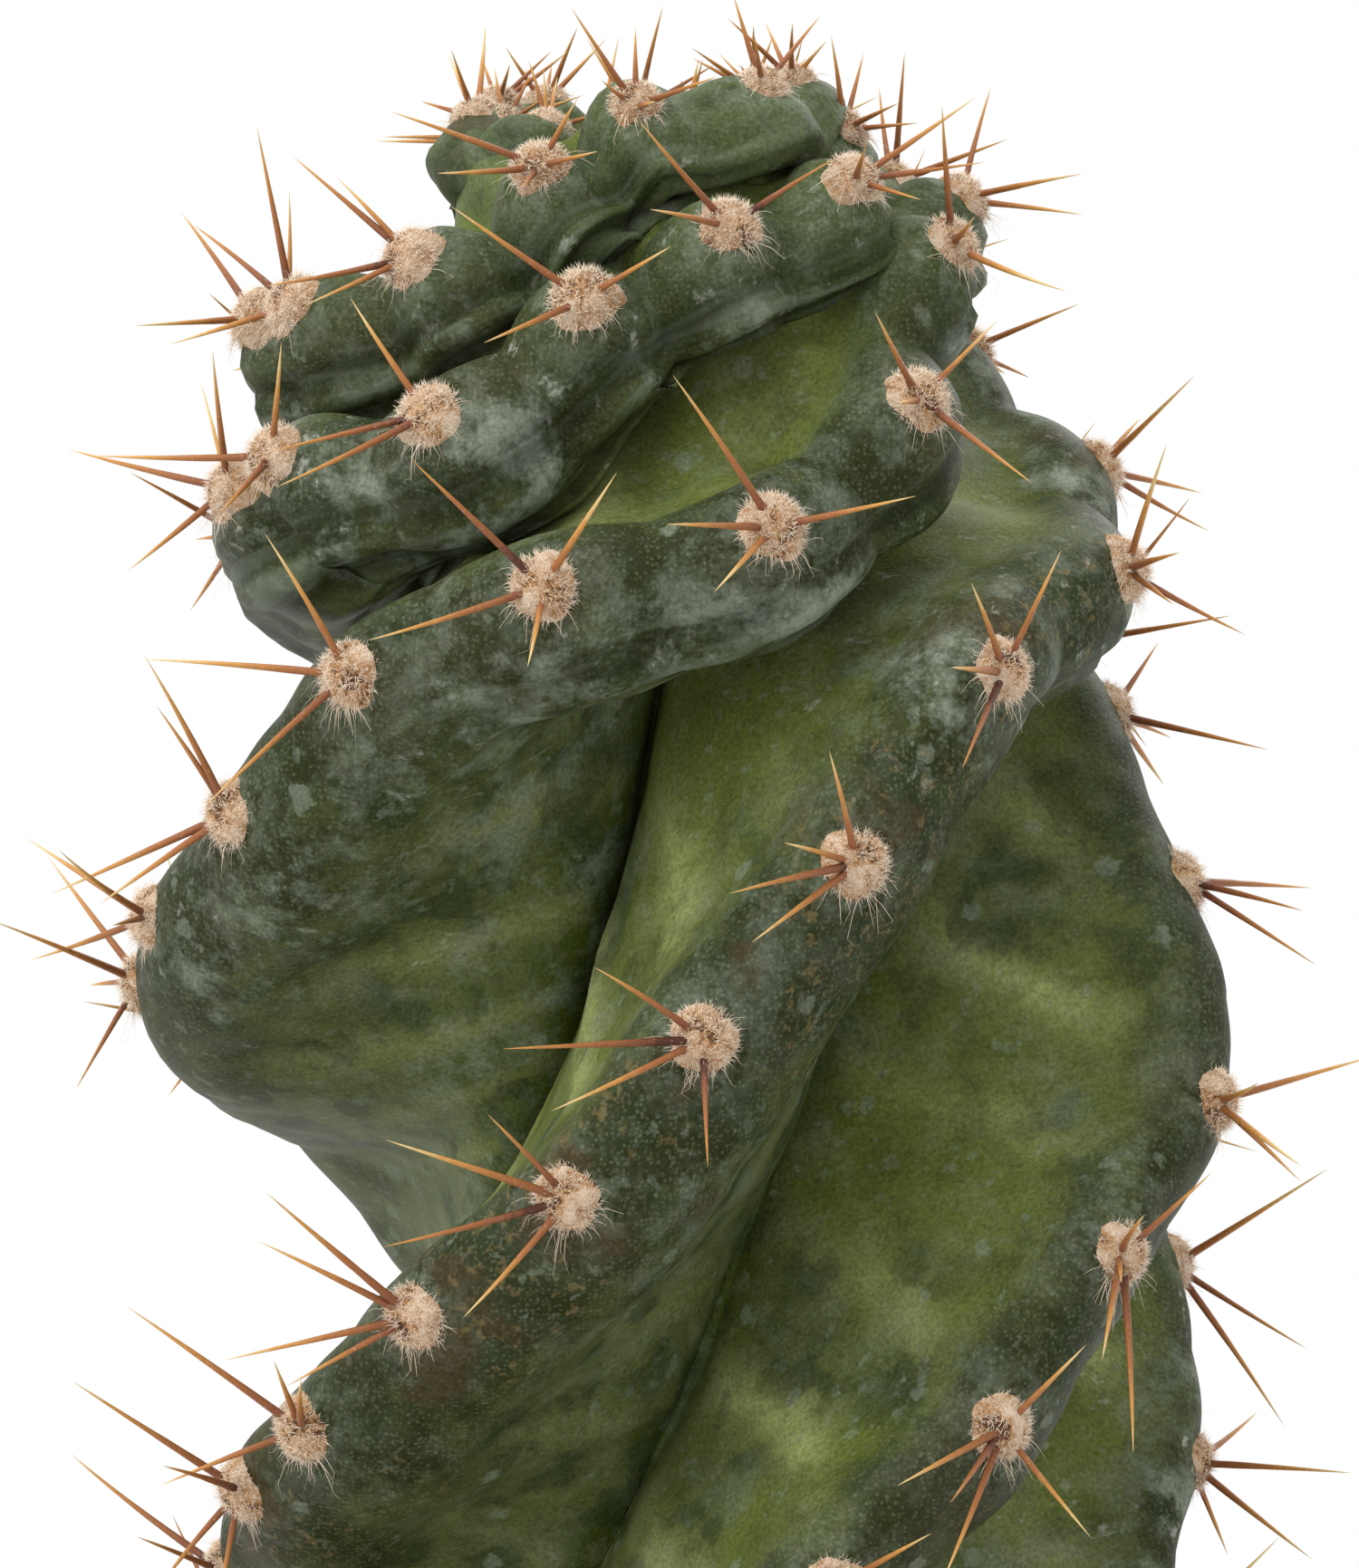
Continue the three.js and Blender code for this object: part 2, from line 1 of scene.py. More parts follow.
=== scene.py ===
"""Dressed model of a spiral cactus that stands in the soil of a plain clay pot.

Sizes are in millimetres and angles in degrees, and they become metres where a mesh is made. +Z is up,
-Y faces the camera, and the origin is the middle of the pot's underside.
"""
from __future__ import annotations

import logging
import math
from dataclasses import dataclass, field
from enum import Enum
from typing import Mapping, Sequence, Union

import bpy
import numpy as np
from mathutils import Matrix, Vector, kdtree, noise


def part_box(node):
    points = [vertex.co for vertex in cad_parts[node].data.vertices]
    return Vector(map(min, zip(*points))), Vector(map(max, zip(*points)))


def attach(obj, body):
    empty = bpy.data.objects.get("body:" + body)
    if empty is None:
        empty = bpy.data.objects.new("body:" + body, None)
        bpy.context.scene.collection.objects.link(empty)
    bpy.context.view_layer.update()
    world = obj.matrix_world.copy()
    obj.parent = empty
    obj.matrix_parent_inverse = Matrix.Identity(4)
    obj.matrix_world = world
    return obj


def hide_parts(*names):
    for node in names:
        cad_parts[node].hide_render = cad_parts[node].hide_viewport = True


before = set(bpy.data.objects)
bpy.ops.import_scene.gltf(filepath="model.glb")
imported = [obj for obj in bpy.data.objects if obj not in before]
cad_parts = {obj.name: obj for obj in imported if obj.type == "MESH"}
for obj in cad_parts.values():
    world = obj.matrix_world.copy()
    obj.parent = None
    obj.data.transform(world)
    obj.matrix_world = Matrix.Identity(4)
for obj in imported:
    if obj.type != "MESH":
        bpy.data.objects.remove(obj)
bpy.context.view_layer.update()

log = logging.getLogger("spiral_cactus")

Array = np.ndarray
Stations = tuple[tuple[float, float], ...]
Colour = tuple[float, float, float]
Value = Union["Signal", float, Sequence[float]]
Pair = tuple[float, float]
Rise = tuple[float, float, float, float]

MM = 0.001
FULL_TURN = 360.0
BODY = "root"
SOIL_LEVEL = 120.0
FIT_GAP = 0.3
UP = np.array([0, 0, 1.0])
TINY = 1e-12
NEARLY_UPRIGHT = 0.9

# Repeatable irregularity, the same as in the solids
CHANCE_SCALE = 12.9898
CHANCE_SHIFT = 78.233
CHANCE_STRETCH = 43758.5453


# Numbers and vectors

def spread(seed: float) -> float:
    """Irregular number from -1 to 1, always the same for this seed."""
    stretched = math.sin(seed * CHANCE_SCALE + CHANCE_SHIFT) * CHANCE_STRETCH
    return 2 * (stretched - math.floor(stretched)) - 1


def smooth_step(value: Array | float) -> Array:
    """Ease from 0 to 1 while the value goes from 0 to 1, and hold it outside."""
    share = np.clip(value, 0, 1)
    return share * share * (3 - 2 * share)


def window(value: Array, start: float, full: float, fall: float, end: float) -> Array:
    """Rise from 0 to 1 between start and full, and fall back to 0 between fall and end."""
    return smooth_step((value - start) / (full - start)) * smooth_step((end - value) / (end - fall))


def unit(vectors: Array) -> Array:
    """Vectors of length 1 in the same directions."""
    return vectors / np.maximum(np.linalg.norm(vectors, axis=-1, keepdims=True), TINY)


def dot(first: Array, second: Array) -> Array:
    """Scalar product of each pair of vectors, kept as a column."""
    return np.sum(first * second, axis=-1, keepdims=True)


def radial(turn: Array) -> Array:
    """Level unit vectors at these turns in degrees."""
    angle = np.radians(turn)
    return np.stack([np.cos(angle), np.sin(angle), np.zeros_like(angle)], axis=-1)


def turns_round(count: int) -> Array:
    """Turns of this many places evenly round a circle."""
    return np.arange(count) * FULL_TURN / count


def rough_field(points: Array, size: float, shift: float = 0.0) -> Array:
    """Smooth irregular numbers in space.

    Args:
        points: Points in millimetres, one a row.
        size: Distance over which the numbers change, in millimetres.
        shift: Moves the pattern, for an unrelated one.

    Returns:
        One number from about -1 to 1 for each point.
    """
    scaled = points.reshape(-1, 3) / size + shift
    values = [noise.noise(Vector(point)) for point in scaled.tolist()]
    return np.array(values).reshape(points.shape[:-1])


@dataclass(frozen=True)
class Curve:
    """A smooth curve through stations that doesn't overshoot them."""

    stations: Stations

    def __call__(self, place: Array | float) -> Array:
        """Value of the curve.

        Args:
            place: Where along the curve, held within its ends.

        Returns:
            The values there.
        """
        places, values = np.array(self.stations, float).T
        runs = np.diff(places)
        rises = np.diff(values) / runs
        product = rises[:-1] * rises[1:]
        total = np.where(product > 0, rises[:-1] + rises[1:], 1)
        slopes = np.concatenate([rises[:1], np.where(product > 0, 2 * product / total, 0), rises[-1:]])
        at = np.clip(place, places[0], places[-1])
        i = np.clip(np.searchsorted(places, at) - 1, 0, len(runs) - 1)
        t = (at - places[i]) / runs[i]
        s = 1 - t
        start = (1 + 2 * t) * s * s * values[i] + t * s * s * runs[i] * slopes[i]
        end = t * t * (3 - 2 * t) * values[i + 1] - t * t * s * runs[i] * slopes[i + 1]
        return start + end


def bezier(points: Sequence[Array], steps: Array) -> Array:
    """Cubic curves through space.

    Args:
        points: Four arrays of control points, one curve a row.
        steps: Places on each curve from 0 to 1.

    Returns:
        Points with one row a curve and one column a step.
    """
    a, b, c, d = (point[:, None, :] for point in points)
    t = steps[None, :, None]
    s = 1 - t
    return s ** 3 * a + 3 * s * s * t * b + 3 * s * t * t * c + t ** 3 * d


# Meshes

@dataclass
class Skins:
    """Closed skins gathered into the mesh of one piece."""

    name: str
    points: list[Array] = field(default_factory=list)
    faces: list[list[int]] = field(default_factory=list)
    marks: dict[str, list[Array]] = field(default_factory=dict)
    count: int = 0

    def add(self, grids: Array, starts: Array, ends: Array, marks: Mapping[str, Array | float]) -> None:
        """Add one closed skin or many of the same build, each made of rings with a point at both ends.

        Args:
            grids: Points by skin, where there are many, by ring and by place round the ring.
            starts: The point that closes the first ring of each skin.
            ends: The point that closes the last ring of each skin.
            marks: Numbers by skin and point, start and end last, to colour the piece by.
        """
        rows, width, _ = grids.shape[-3:]
        size = rows * width + 2
        rings = grids.reshape(-1, rows * width, 3)
        many = len(rings)
        closed = np.concatenate([rings, starts.reshape(many, 1, 3), ends.reshape(many, 1, 3)], axis=1)
        self.points.append(closed.reshape(-1, 3))
        place, after = np.arange(width), (np.arange(width) + 1) % width
        last = (rows - 1) * width
        low = np.arange(0, last, width)[:, None]
        quads = np.stack([low + place, low + after, low + width + after, low + width + place], axis=-1)
        first_fan = np.stack([np.full(width, size - 2), after, place], axis=-1)
        last_fan = np.stack([np.full(width, size - 1), last + place, last + after], axis=-1)
        offsets = (self.count + size * np.arange(many))[:, None, None]
        for block in (quads.reshape(-1, 4), first_fan, last_fan):
            self.faces += (block[None] + offsets).reshape(-1, block.shape[-1]).tolist()
        for key, values in marks.items():
            self.marks.setdefault(key, []).append(np.broadcast_to(values, (many, size)).ravel())
        self.count += many * size

    def make(self) -> bpy.types.Object:
        """Build the piece from what was gathered.

        Returns:
            The new object, smooth shaded, in metres and in the scene.
        """
        mesh = bpy.data.meshes.new(self.name)
        mesh.from_pydata((np.concatenate(self.points) * MM).tolist(), [], self.faces)
        mesh.polygons.foreach_set("use_smooth", np.ones(len(mesh.polygons), bool))
        for key, values in self.marks.items():
            mark = mesh.attributes.new(key, "FLOAT", "POINT")
            mark.data.foreach_set("value", np.concatenate(values).astype(np.float32))
        mesh.update()
        piece = bpy.data.objects.new(self.name, mesh)
        bpy.context.scene.collection.objects.link(piece)
        log.info("%s: %d points, %d faces", self.name, len(mesh.vertices), len(mesh.polygons))
        return piece


def tubes(paths: Array, radii: Array, sides: int) -> Array:
    """Rings round paths that are nearly straight.

    Args:
        paths: Points by tube and step.
        radii: Radius by tube and step.
        sides: Points in each ring.

    Returns:
        Points by tube, ring and place round the ring.
    """
    axis = unit(paths[:, -1] - paths[:, 0])
    helper = np.where(np.abs(axis[:, 2:]) > NEARLY_UPRIGHT, radial(0.0), UP)
    first = unit(np.cross(helper, axis))
    second = np.cross(axis, first)
    angle = np.radians(turns_round(sides))[:, None]
    rings = np.cos(angle) * first[:, None] + np.sin(angle) * second[:, None]
    return paths[:, :radii.shape[1], None] + radii[:, :, None, None] * rings[:, None]


def lathe(name: str, profile: Sequence[Array], sides: int) -> Skins:
    """Closed turned piece.

    Args:
        name: Name of the piece.
        profile: Radius and height of each ring, round the section.
        sides: Points in each ring.

    Returns:
        The skin, joined round the section.
    """
    rings = np.array([radius * radial(turns_round(sides)) + height * UP for radius, height in profile])
    numbers = np.arange(len(profile) * sides).reshape(len(profile), sides)
    above = np.roll(numbers, -1, axis=0)
    corners = numbers, np.roll(numbers, -1, axis=1), np.roll(above, -1, axis=1), above
    return Skins(name, [rings.reshape(-1, 3)], np.stack(corners, axis=-1).reshape(-1, 4).tolist())


# Shaders

@dataclass(frozen=True)
class Signal:
    """One output of a shader node, on which arithmetic adds Math nodes."""

    bench: "Bench"
    socket: bpy.types.NodeSocket | None

    def maths(self, operation: str, *values: Value) -> "Signal":
        """Output of a Math node with this operation on these values."""
        return self.bench.node("ShaderNodeMath", {"operation": operation}, dict(enumerate(values)))

    def __add__(self, other: Value) -> "Signal":
        """Sum."""
        return self.maths("ADD", self, other)

    def __sub__(self, other: Value) -> "Signal":
        """Difference."""
        return self.maths("SUBTRACT", self, other)

    def __mul__(self, other: Value) -> "Signal":
        """Product."""
        return self.maths("MULTIPLY", self, other)

    def __rsub__(self, other: Value) -> "Signal":
        """Difference from a number."""
        return self.maths("SUBTRACT", other, self)

    __radd__ = __add__
    __rmul__ = __mul__

    def at_least(self, other: Value) -> "Signal":
        """Larger of the two numbers."""
        return self.maths("MAXIMUM", self, other)

    def between(self, low: float, high: float) -> "Signal":
        """Smooth share of the way from low to high, held between 0 and 1."""
        places = {"Value": self, "From Min": low, "From Max": high}
        return self.bench.node("ShaderNodeMapRange", {"interpolation_type": "SMOOTHSTEP"}, places)


@dataclass(frozen=True)
class Clouds:
    """Cloudy pattern: the distance from cloud to cloud in millimetres and the finer layers over it.

    Roughness is how strong those layers are, shift moves the pattern to an unrelated one, and band is where a
    mask that is made from it goes from 0 to 1.
    """

    size: float
    layers: float = 3.0
    roughness: float = 0.5
    shift: float = 0.0
    band: Pair = (0.0, 1.0)


@dataclass
class Bench:
    """Node tree of one material and what is needed to fill it."""

    name: str
    flank_length: float = 40.0
    material: bpy.types.Material = field(init=False)

    def __post_init__(self) -> None:
        """Make the material with an empty node tree."""
        self.material = bpy.data.materials.new(self.name)
        self.material.use_nodes = True
        self.material.node_tree.nodes.clear()

    def node(
        self,
        kind: str,
        settings: Mapping[str, object] | None = None,
        sockets: Mapping[str | int, Value] | None = None,
        output: str | int = 0,
    ) -> Signal:
        """Add a node.

        Args:
            kind: The node's type.
            settings: Its own settings; "stops" gives a ramp's places and colours.
            sockets: Values or links of its inputs.
            output: The output to hand back.

        Returns:
            That output.
        """
        tree = self.material.node_tree
        made = tree.nodes.new(kind)
        for key, value in (settings or {}).items():
            if key == "stops":
                self._set_stops(made.color_ramp, value)
            else:
                setattr(made, key, value)
        for key, value in (sockets or {}).items():
            if isinstance(value, Signal):
                tree.links.new(value.socket, made.inputs[key])
            else:
                made.inputs[key].default_value = value
        return Signal(self, made.outputs[output] if len(made.outputs) else None)

    def _set_stops(self, ramp: bpy.types.ColorRamp, stops: Sequence[tuple[float, Colour]]) -> None:
        """Give a ramp its stops.

        Args:
            ramp: The ramp of a new node.
            stops: Place and colour of each stop.
        """
        while len(ramp.elements) < len(stops):
            ramp.elements.new(1.0)
        for element, (place, colour) in zip(ramp.elements, stops):
            element.position = place
            element.color = (*colour, 1.0)

    def mark(self, name: str) -> Signal:
        """Numbers that the mesh carries under this name."""
        return self.node("ShaderNodeAttribute", {"attribute_name": name}, output="Fac")

    def place(self) -> Signal:
        """Position on the piece in metres."""
        return self.node("ShaderNodeTexCoord", output="Object")

    def along_rib(self, width_share: float) -> Signal:
        """Place along and across the rib, for patterns that are drawn out along or across it.

        Args:
            width_share: Width of their patches across the rib as a share of the length along it.

        Returns:
            The place in metres.
        """
        return self.node("ShaderNodeCombineXYZ", {}, {
            0: self.mark("along") * MM,
            1: self.mark("depth") * (self.flank_length * MM / width_share),
            2: self.mark("rib"),
        })

    def clouds(self, pattern: Clouds, where: Signal | None = None) -> Signal:
        """Add a cloudy pattern.

        Args:
            pattern: Its sizes.
            where: Vector to read it at, in place of the position on the piece.

        Returns:
            Numbers round 0.5.
        """
        return self.node("ShaderNodeTexNoise", {}, {
            "Vector": where or self.moved(pattern.shift),
            "Scale": 1 / (pattern.size * MM),
            "Detail": pattern.layers,
            "Roughness": pattern.roughness,
        }, "Fac")

    def mask(self, pattern: Clouds, where: Signal | None = None) -> Signal:
        """Cloudy pattern, from 0 under its band to 1 over it."""
        return self.clouds(pattern, where).between(*pattern.band)

    def cells(self, size: float, randomness: float = 1.0, shift: float = 0.0) -> tuple[Signal, Signal]:
        """Pattern of cells.

        Args:
            size: Distance from cell to cell, in millimetres.
            randomness: How irregular they are, from 0 to 1.
            shift: Moves the pattern, for an unrelated one.

        Returns:
            Distance to the nearest middle as a share of the size, and a number from 0 to 1 for each cell.
        """
        sizes = {"Vector": self.moved(shift), "Scale": 1 / (size * MM), "Randomness": randomness}
        distance = self.node("ShaderNodeTexVoronoi", {}, sizes, "Distance")
        colour = Signal(self, distance.socket.node.outputs["Color"])
        return distance, self.node("ShaderNodeSeparateColor", {}, {0: colour}, "Red")

    def moved(self, shift: float) -> Signal:
        """Position on the piece, to read an unrelated part of a pattern.

        Args:
            shift: How far it moves along each axis, in metres.

        Returns:
            A vector in metres.
        """
        place = self.place()
        if not shift:
            return place
        return self.node("ShaderNodeVectorMath", {"operation": "ADD"}, {0: place, 1: (shift, shift, shift)})

    def blend(self, share: Value, first: Value, second: Value, mode: str = "MIX") -> Signal:
        """Colour mixed from the first and this share of the second, which goes over it in this mode."""
        sockets = {"Factor": share, 6: self._full(first), 7: self._full(second)}
        return self.node("ShaderNodeMix", {"data_type": "RGBA", "blend_type": mode}, sockets, 2)

    def _full(self, colour: Value) -> Value:
        """Colour with its fourth number, unless it is a link."""
        return colour if isinstance(colour, Signal) else (*colour, 1.0)

    def bump(self, height: Signal, depth: float, strength: float = 1.0) -> Signal:
        """Normal bent by some of a height from 0 to 1, where 1 stands for the depth in millimetres."""
        sockets = {"Height": height, "Distance": depth * MM, "Strength": strength}
        return self.node("ShaderNodeBump", {}, sockets, "Normal")

    def surface(self, sockets: Mapping[str | int, Value]) -> bpy.types.Material:
        """Finish the material with one surface shader whose inputs have these values or links."""
        return self.shown(self.node("ShaderNodeBsdfPrincipled", {}, sockets))

    def shown(self, shader: Signal) -> bpy.types.Material:
        """Finish the material with this shader."""
        self.node("ShaderNodeOutputMaterial", {}, {"Surface": shader})
        return self.material

    def ramp(self, factor: Signal, *stops: tuple[float, Colour]) -> Signal:
        """Colour of a ramp with these stops, each a place and its colour."""
        return self.node("ShaderNodeValToRGB", {"stops": stops}, {0: factor}, "Color")

    def height(self) -> Signal:
        """Height on the piece in metres."""
        return self.node("ShaderNodeSeparateXYZ", {}, {0: self.place()}, "Z")


@dataclass(frozen=True)
class SkinFinish:
    """Waxy green skin with pale pores, haze that is partly painted sheen, painted light, painted crease
    shade, scuffs, stains and corky specks.
    """

    crest: Colour = (0.019, 0.024, 0.006)
    flank: Colour = (0.082, 0.101, 0.033)
    valley: Colour = (0.044, 0.062, 0.007)
    # Painted light: the lighter yellow-green laid on the upper flanks.
    painted_light: Colour = (0.105, 0.130, 0.024)
    pale: Colour = (0.170, 0.195, 0.090)
    young: Colour = (0.062, 0.086, 0.028)
    vein: Colour = (0.300, 0.330, 0.120)
    shade: Colour = (0.022, 0.032, 0.012)
    # Painted shade in the creases of the wrinkles.
    crease: Colour = (0.010, 0.014, 0.005)
    pore: Colour = (0.150, 0.170, 0.095)
    # Pale wax bloom, which also paints sheen and the highlight on the wrinkle ridges.
    haze: Colour = (0.210, 0.240, 0.185)
    chalk: Colour = (0.360, 0.380, 0.320)
    cork: Colour = (0.200, 0.145, 0.060)
    stain: Colour = (0.050, 0.034, 0.014)
    broad: Clouds = Clouds(22.0, 2, 0.5, 7.4)
    mottle: Clouds = Clouds(6.0, 3, 0.55, 0.3)
    grain: Clouds = Clouds(0.4, 2, 0.6, 0.7)
    patches: Clouds = Clouds(5.5, 3, 0.5, 1.1)
    wax: Clouds = Clouds(7.0, 5, 0.7, 2.3, (0.45, 0.68))
    drop_edges: Clouds = Clouds(1.6, 3, 0.6, 6.2)
    fleck_fields: Clouds = Clouds(14.0, 2, 0.5, 4.9, (0.42, 0.62))
    collars: Clouds = Clouds(1.8, 3, 0.6, 3.7, (0.35, 0.65))
    stains: Clouds = Clouds(11.0, 3, 0.6, 9.1, (0.52, 0.64))
    specks: Clouds = Clouds(1.2, 3, 0.6, 5.7, (0.56, 0.66))
    scuffs: Clouds = Clouds(2.6, 4, 0.7, 0.0, (0.59, 0.72))
    # Wrinkle pattern along the rib: it paints shade in the creases and a highlight on the ridges.
    folds: Clouds = Clouds(20.0, 2, 0.5)
    scuff_width_share: float = 1.2
    fold_width_share: float = 0.14
    pore_spacing: float = 0.5
    drop_spacing: float = 5.5
    grain_depth: float = 0.08
    young_heights: Pair = (0.300, 0.330)

    def make(self) -> bpy.types.Material:
        """Build the material.

        Returns:
            The skin's material.
        """
        bench = Bench("waxy_skin")
        depth = bench.mark("depth")
        crestness = 1 - depth.between(0.12, 0.55)
        broad = bench.clouds(self.broad)
        grain = bench.clouds(self.grain)
        # Pale wax bloom that is partly painted sheen.
        haze = self._wax_and_sheen(bench, broad)
        colour = self._ground(bench, depth, broad)
        colour = bench.blend(self._pores(bench, crestness), colour, self.pore)
        colour = bench.blend(haze, colour, self.haze)
        colour = self._worn(bench, colour, crestness, broad)
        colour = bench.blend(1.0, colour, (grain - 0.5) * 0.7 + 0.5, "OVERLAY")
        folds = bench.clouds(self.folds, bench.along_rib(self.fold_width_share))
        wrinkled = bench.mark("wrinkled")
        # Painted highlight on the ridges of the wrinkles.
        colour = bench.blend(folds.between(0.50, 0.66) * wrinkled * 0.4, colour, self.haze)
        # Painted shade in the creases of the wrinkles.
        creases = (1 - folds.between(0.36, 0.48)).at_least(bench.mark("wrinkle"))
        colour = bench.blend(creases * wrinkled * 0.65, colour, self.crease)
        return bench.surface({
            "Base Color": colour,
            "Roughness": haze * 0.15 + grain * 0.2 + 0.38,
            "Specular IOR Level": 0.06,
            "Normal": bench.bump(grain, self.grain_depth),
        })

    def _ground(self, bench: Bench, depth: Signal, broad: Signal) -> Signal:
        """Green of the skin from crest to valley, with painted light on the upper flanks, pale veins and dark
        blotches.

        Args:
            bench: The material's bench.
            depth: Place between crest and valley.
            broad: Broad cloudy pattern.

        Returns:
            The colour.
        """
        mottle = bench.clouds(self.mottle)
        drift = depth + (mottle - 0.5) * 0.7
        stops = (0.12, self.crest), (0.46, self.flank), (0.64, self.flank), (0.9, self.valley)
        colour = bench.ramp(drift, *stops)
        colour = bench.blend(bench.height().between(*self.young_heights) * 0.8, colour, self.young)
        # Painted light on the upper flanks, in broad patches.
        painted_light = broad.between(0.38, 0.60) * bench.mark("upper").between(0.05, 0.7)
        colour = bench.blend(painted_light * 0.8, colour, self.painted_light)
        colour = bench.blend(bench.mark("vein") * mottle.between(0.22, 0.50) * 0.85, colour, self.vein)
        patches = bench.clouds(self.patches)
        flank = depth.between(0.2, 0.45)
        colour = bench.blend((1 - patches.between(0.34, 0.46)) * flank * 0.35, colour, self.pale)
        blotches = patches.between(0.50, 0.62) * (1 - painted_light * 0.6)
        return bench.blend(blotches * 0.6, colour, self.shade)

    def _pores(self, bench: Bench, crestness: Signal) -> Signal:
        """Strength of the fine pale dots, which are stronger near the crest."""
        spots, chosen = bench.cells(self.pore_spacing, 0.7)
        return (1 - spots.between(0.16, 0.46)) * chosen.between(-1.0, 0.8) * (crestness * 0.2 + 0.12)

    def _wax_and_sheen(self, bench: Bench, broad: Signal) -> Signal:
        """Pale wax that also paints sheen: cloudy patches, drying marks and a collar round each areole.

        Args:
            bench: The material's bench.
            broad: Broad cloudy pattern.

        Returns:
            Its strength.
        """
        # Cloudy wax patches, partly painted sheen.
        wax = bench.mask(self.wax) * (1 - broad.between(0.42, 0.60) * 0.7)
        marks, chosen = bench.cells(self.drop_spacing, 1.0, 8.2)
        edges = bench.clouds(self.drop_edges)
        drops = (1 - (marks + edges * 0.5 - chosen * 0.3).between(0.13, 0.22)) * 0.4
        flecks = edges.between(0.55, 0.68) * bench.mask(self.fleck_fields) * 0.35
        collar = bench.mark("halo") * bench.mask(self.collars) * 0.6
        shown = bench.mark("bloom_and_sheen") * (1 - bench.mark("upper") * 0.6)
        return (wax * (shown * 0.7 + 0.13)).at_least(drops).at_least(flecks).at_least(collar)

    def _worn(self, bench: Bench, colour: Signal, crestness: Signal, broad: Signal) -> Signal:
        """Add brown stains, ochre corky specks and chalky scuffs.

        Args:
            bench: The material's bench.
            colour: Colour of the sound skin.
            crestness: Nearness to the crest.
            broad: Broad cloudy pattern.

        Returns:
            The colour.
        """
        worn = crestness * (1 - bench.mark("rib").between(0.0, 1.0) * 0.75)
        colour = bench.blend(bench.mask(self.stains) * worn * 0.65, colour, self.stain)
        specks = bench.mask(self.specks) * broad.between(0.45, 0.55)
        colour = bench.blend(specks * worn * 0.35, colour, self.cork)
        scuffs = bench.mask(self.scuffs, bench.along_rib(self.scuff_width_share))
        return bench.blend(scuffs * bench.mark("bloom_and_sheen").between(0.2, 1.0) * 0.6, colour, self.chalk)


@dataclass(frozen=True)
class FeltFinish:
    """Matted felt of the areole pads, orange in its hollows and cream on its tufts: partly its own tones,
    partly painted shade and highlight.
    """

    cream: Colour = (0.78, 0.62, 0.47)
    tan: Colour = (0.60, 0.39, 0.23)
    hollow: Colour = (0.46, 0.24, 0.10)
    dark: Colour = (0.13, 0.065, 0.035)
    old: Colour = (0.34, 0.22, 0.13)
    fine: Clouds = Clouds(0.3, 3, 0.7, 0.4)
    hollows: Clouds = Clouds(1.6, 2, 0.5, 0.0, (0.5, 0.7))
    relief: float = 0.6

    def make(self) -> bpy.types.Material:
        """Build the material.

        Returns:
            The felt's material.
        """
        bench = Bench("areole_felt")
        fine = bench.clouds(self.fine)
        # The ramp follows the felt's height: partly its own orange and cream, partly painted shade in the
        # hollows and painted highlight on the raised tufts.
        stops = (0.05, self.dark), (0.22, self.hollow), (0.46, self.tan), (0.78, self.cream)
        colour = bench.ramp(bench.mark("tuft") + (fine - 0.5) * 1.4, *stops)
        colour = bench.blend(bench.mask(self.hollows) * 0.5, colour, self.hollow)
        colour = bench.blend(bench.mark("young") * 0.6, colour, self.old)
        return bench.surface({
            "Base Color": colour,
            "Roughness": 0.95,
            "Specular IOR Level": 0.1,
            "Normal": bench.bump(fine, self.relief),
        })


@dataclass(frozen=True)
class WoolFinish:
    """Fine wool fibres of the areoles."""

    white: Colour = (0.86, 0.71, 0.55)
    tan: Colour = (0.62, 0.40, 0.24)
    brown: Colour = (0.28, 0.15, 0.08)

    def make(self) -> bpy.types.Material:
        """Build the material.

        Returns:
            The fibres' material.
        """
        bench = Bench("areole_wool")
        colour = bench.ramp(bench.mark("tone"), (0.0, self.brown), (0.18, self.tan), (0.6, self.white))
        return bench.surface({"Base Color": colour, "Roughness": 0.8, "Specular IOR Level": 0.3})


@dataclass(frozen=True)
class SpineFinish:
    """Horny spine: dark red-brown at its foot, amber further out and pale at the tip."""

    foot: Colour = (0.070, 0.020, 0.009)
    lower: Colour = (0.180, 0.058, 0.022)
    middle: Colour = (0.310, 0.115, 0.030)
    outer: Colour = (0.500, 0.240, 0.055)
    tip: Colour = (0.640, 0.460, 0.200)
    scurf: Colour = (0.420, 0.330, 0.260)
    streaks: Clouds = Clouds(0.8, 4, 0.65)
    scurfy: Clouds = Clouds(0.35, 3, 0.6, 0.9, (0.60, 0.75))
    relief: float = 0.1

    def make(self) -> bpy.types.Material:
        """Build the material.

        Returns:
            The spines' material.
        """
        bench = Bench("horny_spine")
        reach = bench.mark("reach")
        streaks = bench.clouds(self.streaks)
        along = reach + (streaks - 0.5) * 0.3 + bench.mark("tone") * 0.18
        outer_stops = (0.45, self.middle), (0.75, self.outer), (0.97, self.tip)
        colour = bench.ramp(along, (0.0, self.foot), (0.10, self.lower), *outer_stops)
        scurf = bench.mask(self.scurfy) * (1 - reach.between(0.4, 0.9))
        colour = bench.blend(scurf * 0.5, colour, self.scurf)
        return bench.surface({
            "Base Color": colour,
            "Roughness": streaks * 0.2 + 0.4,
            "Specular IOR Level": 0.3,
            "Normal": bench.bump(streaks, self.relief, 0.6),
        })


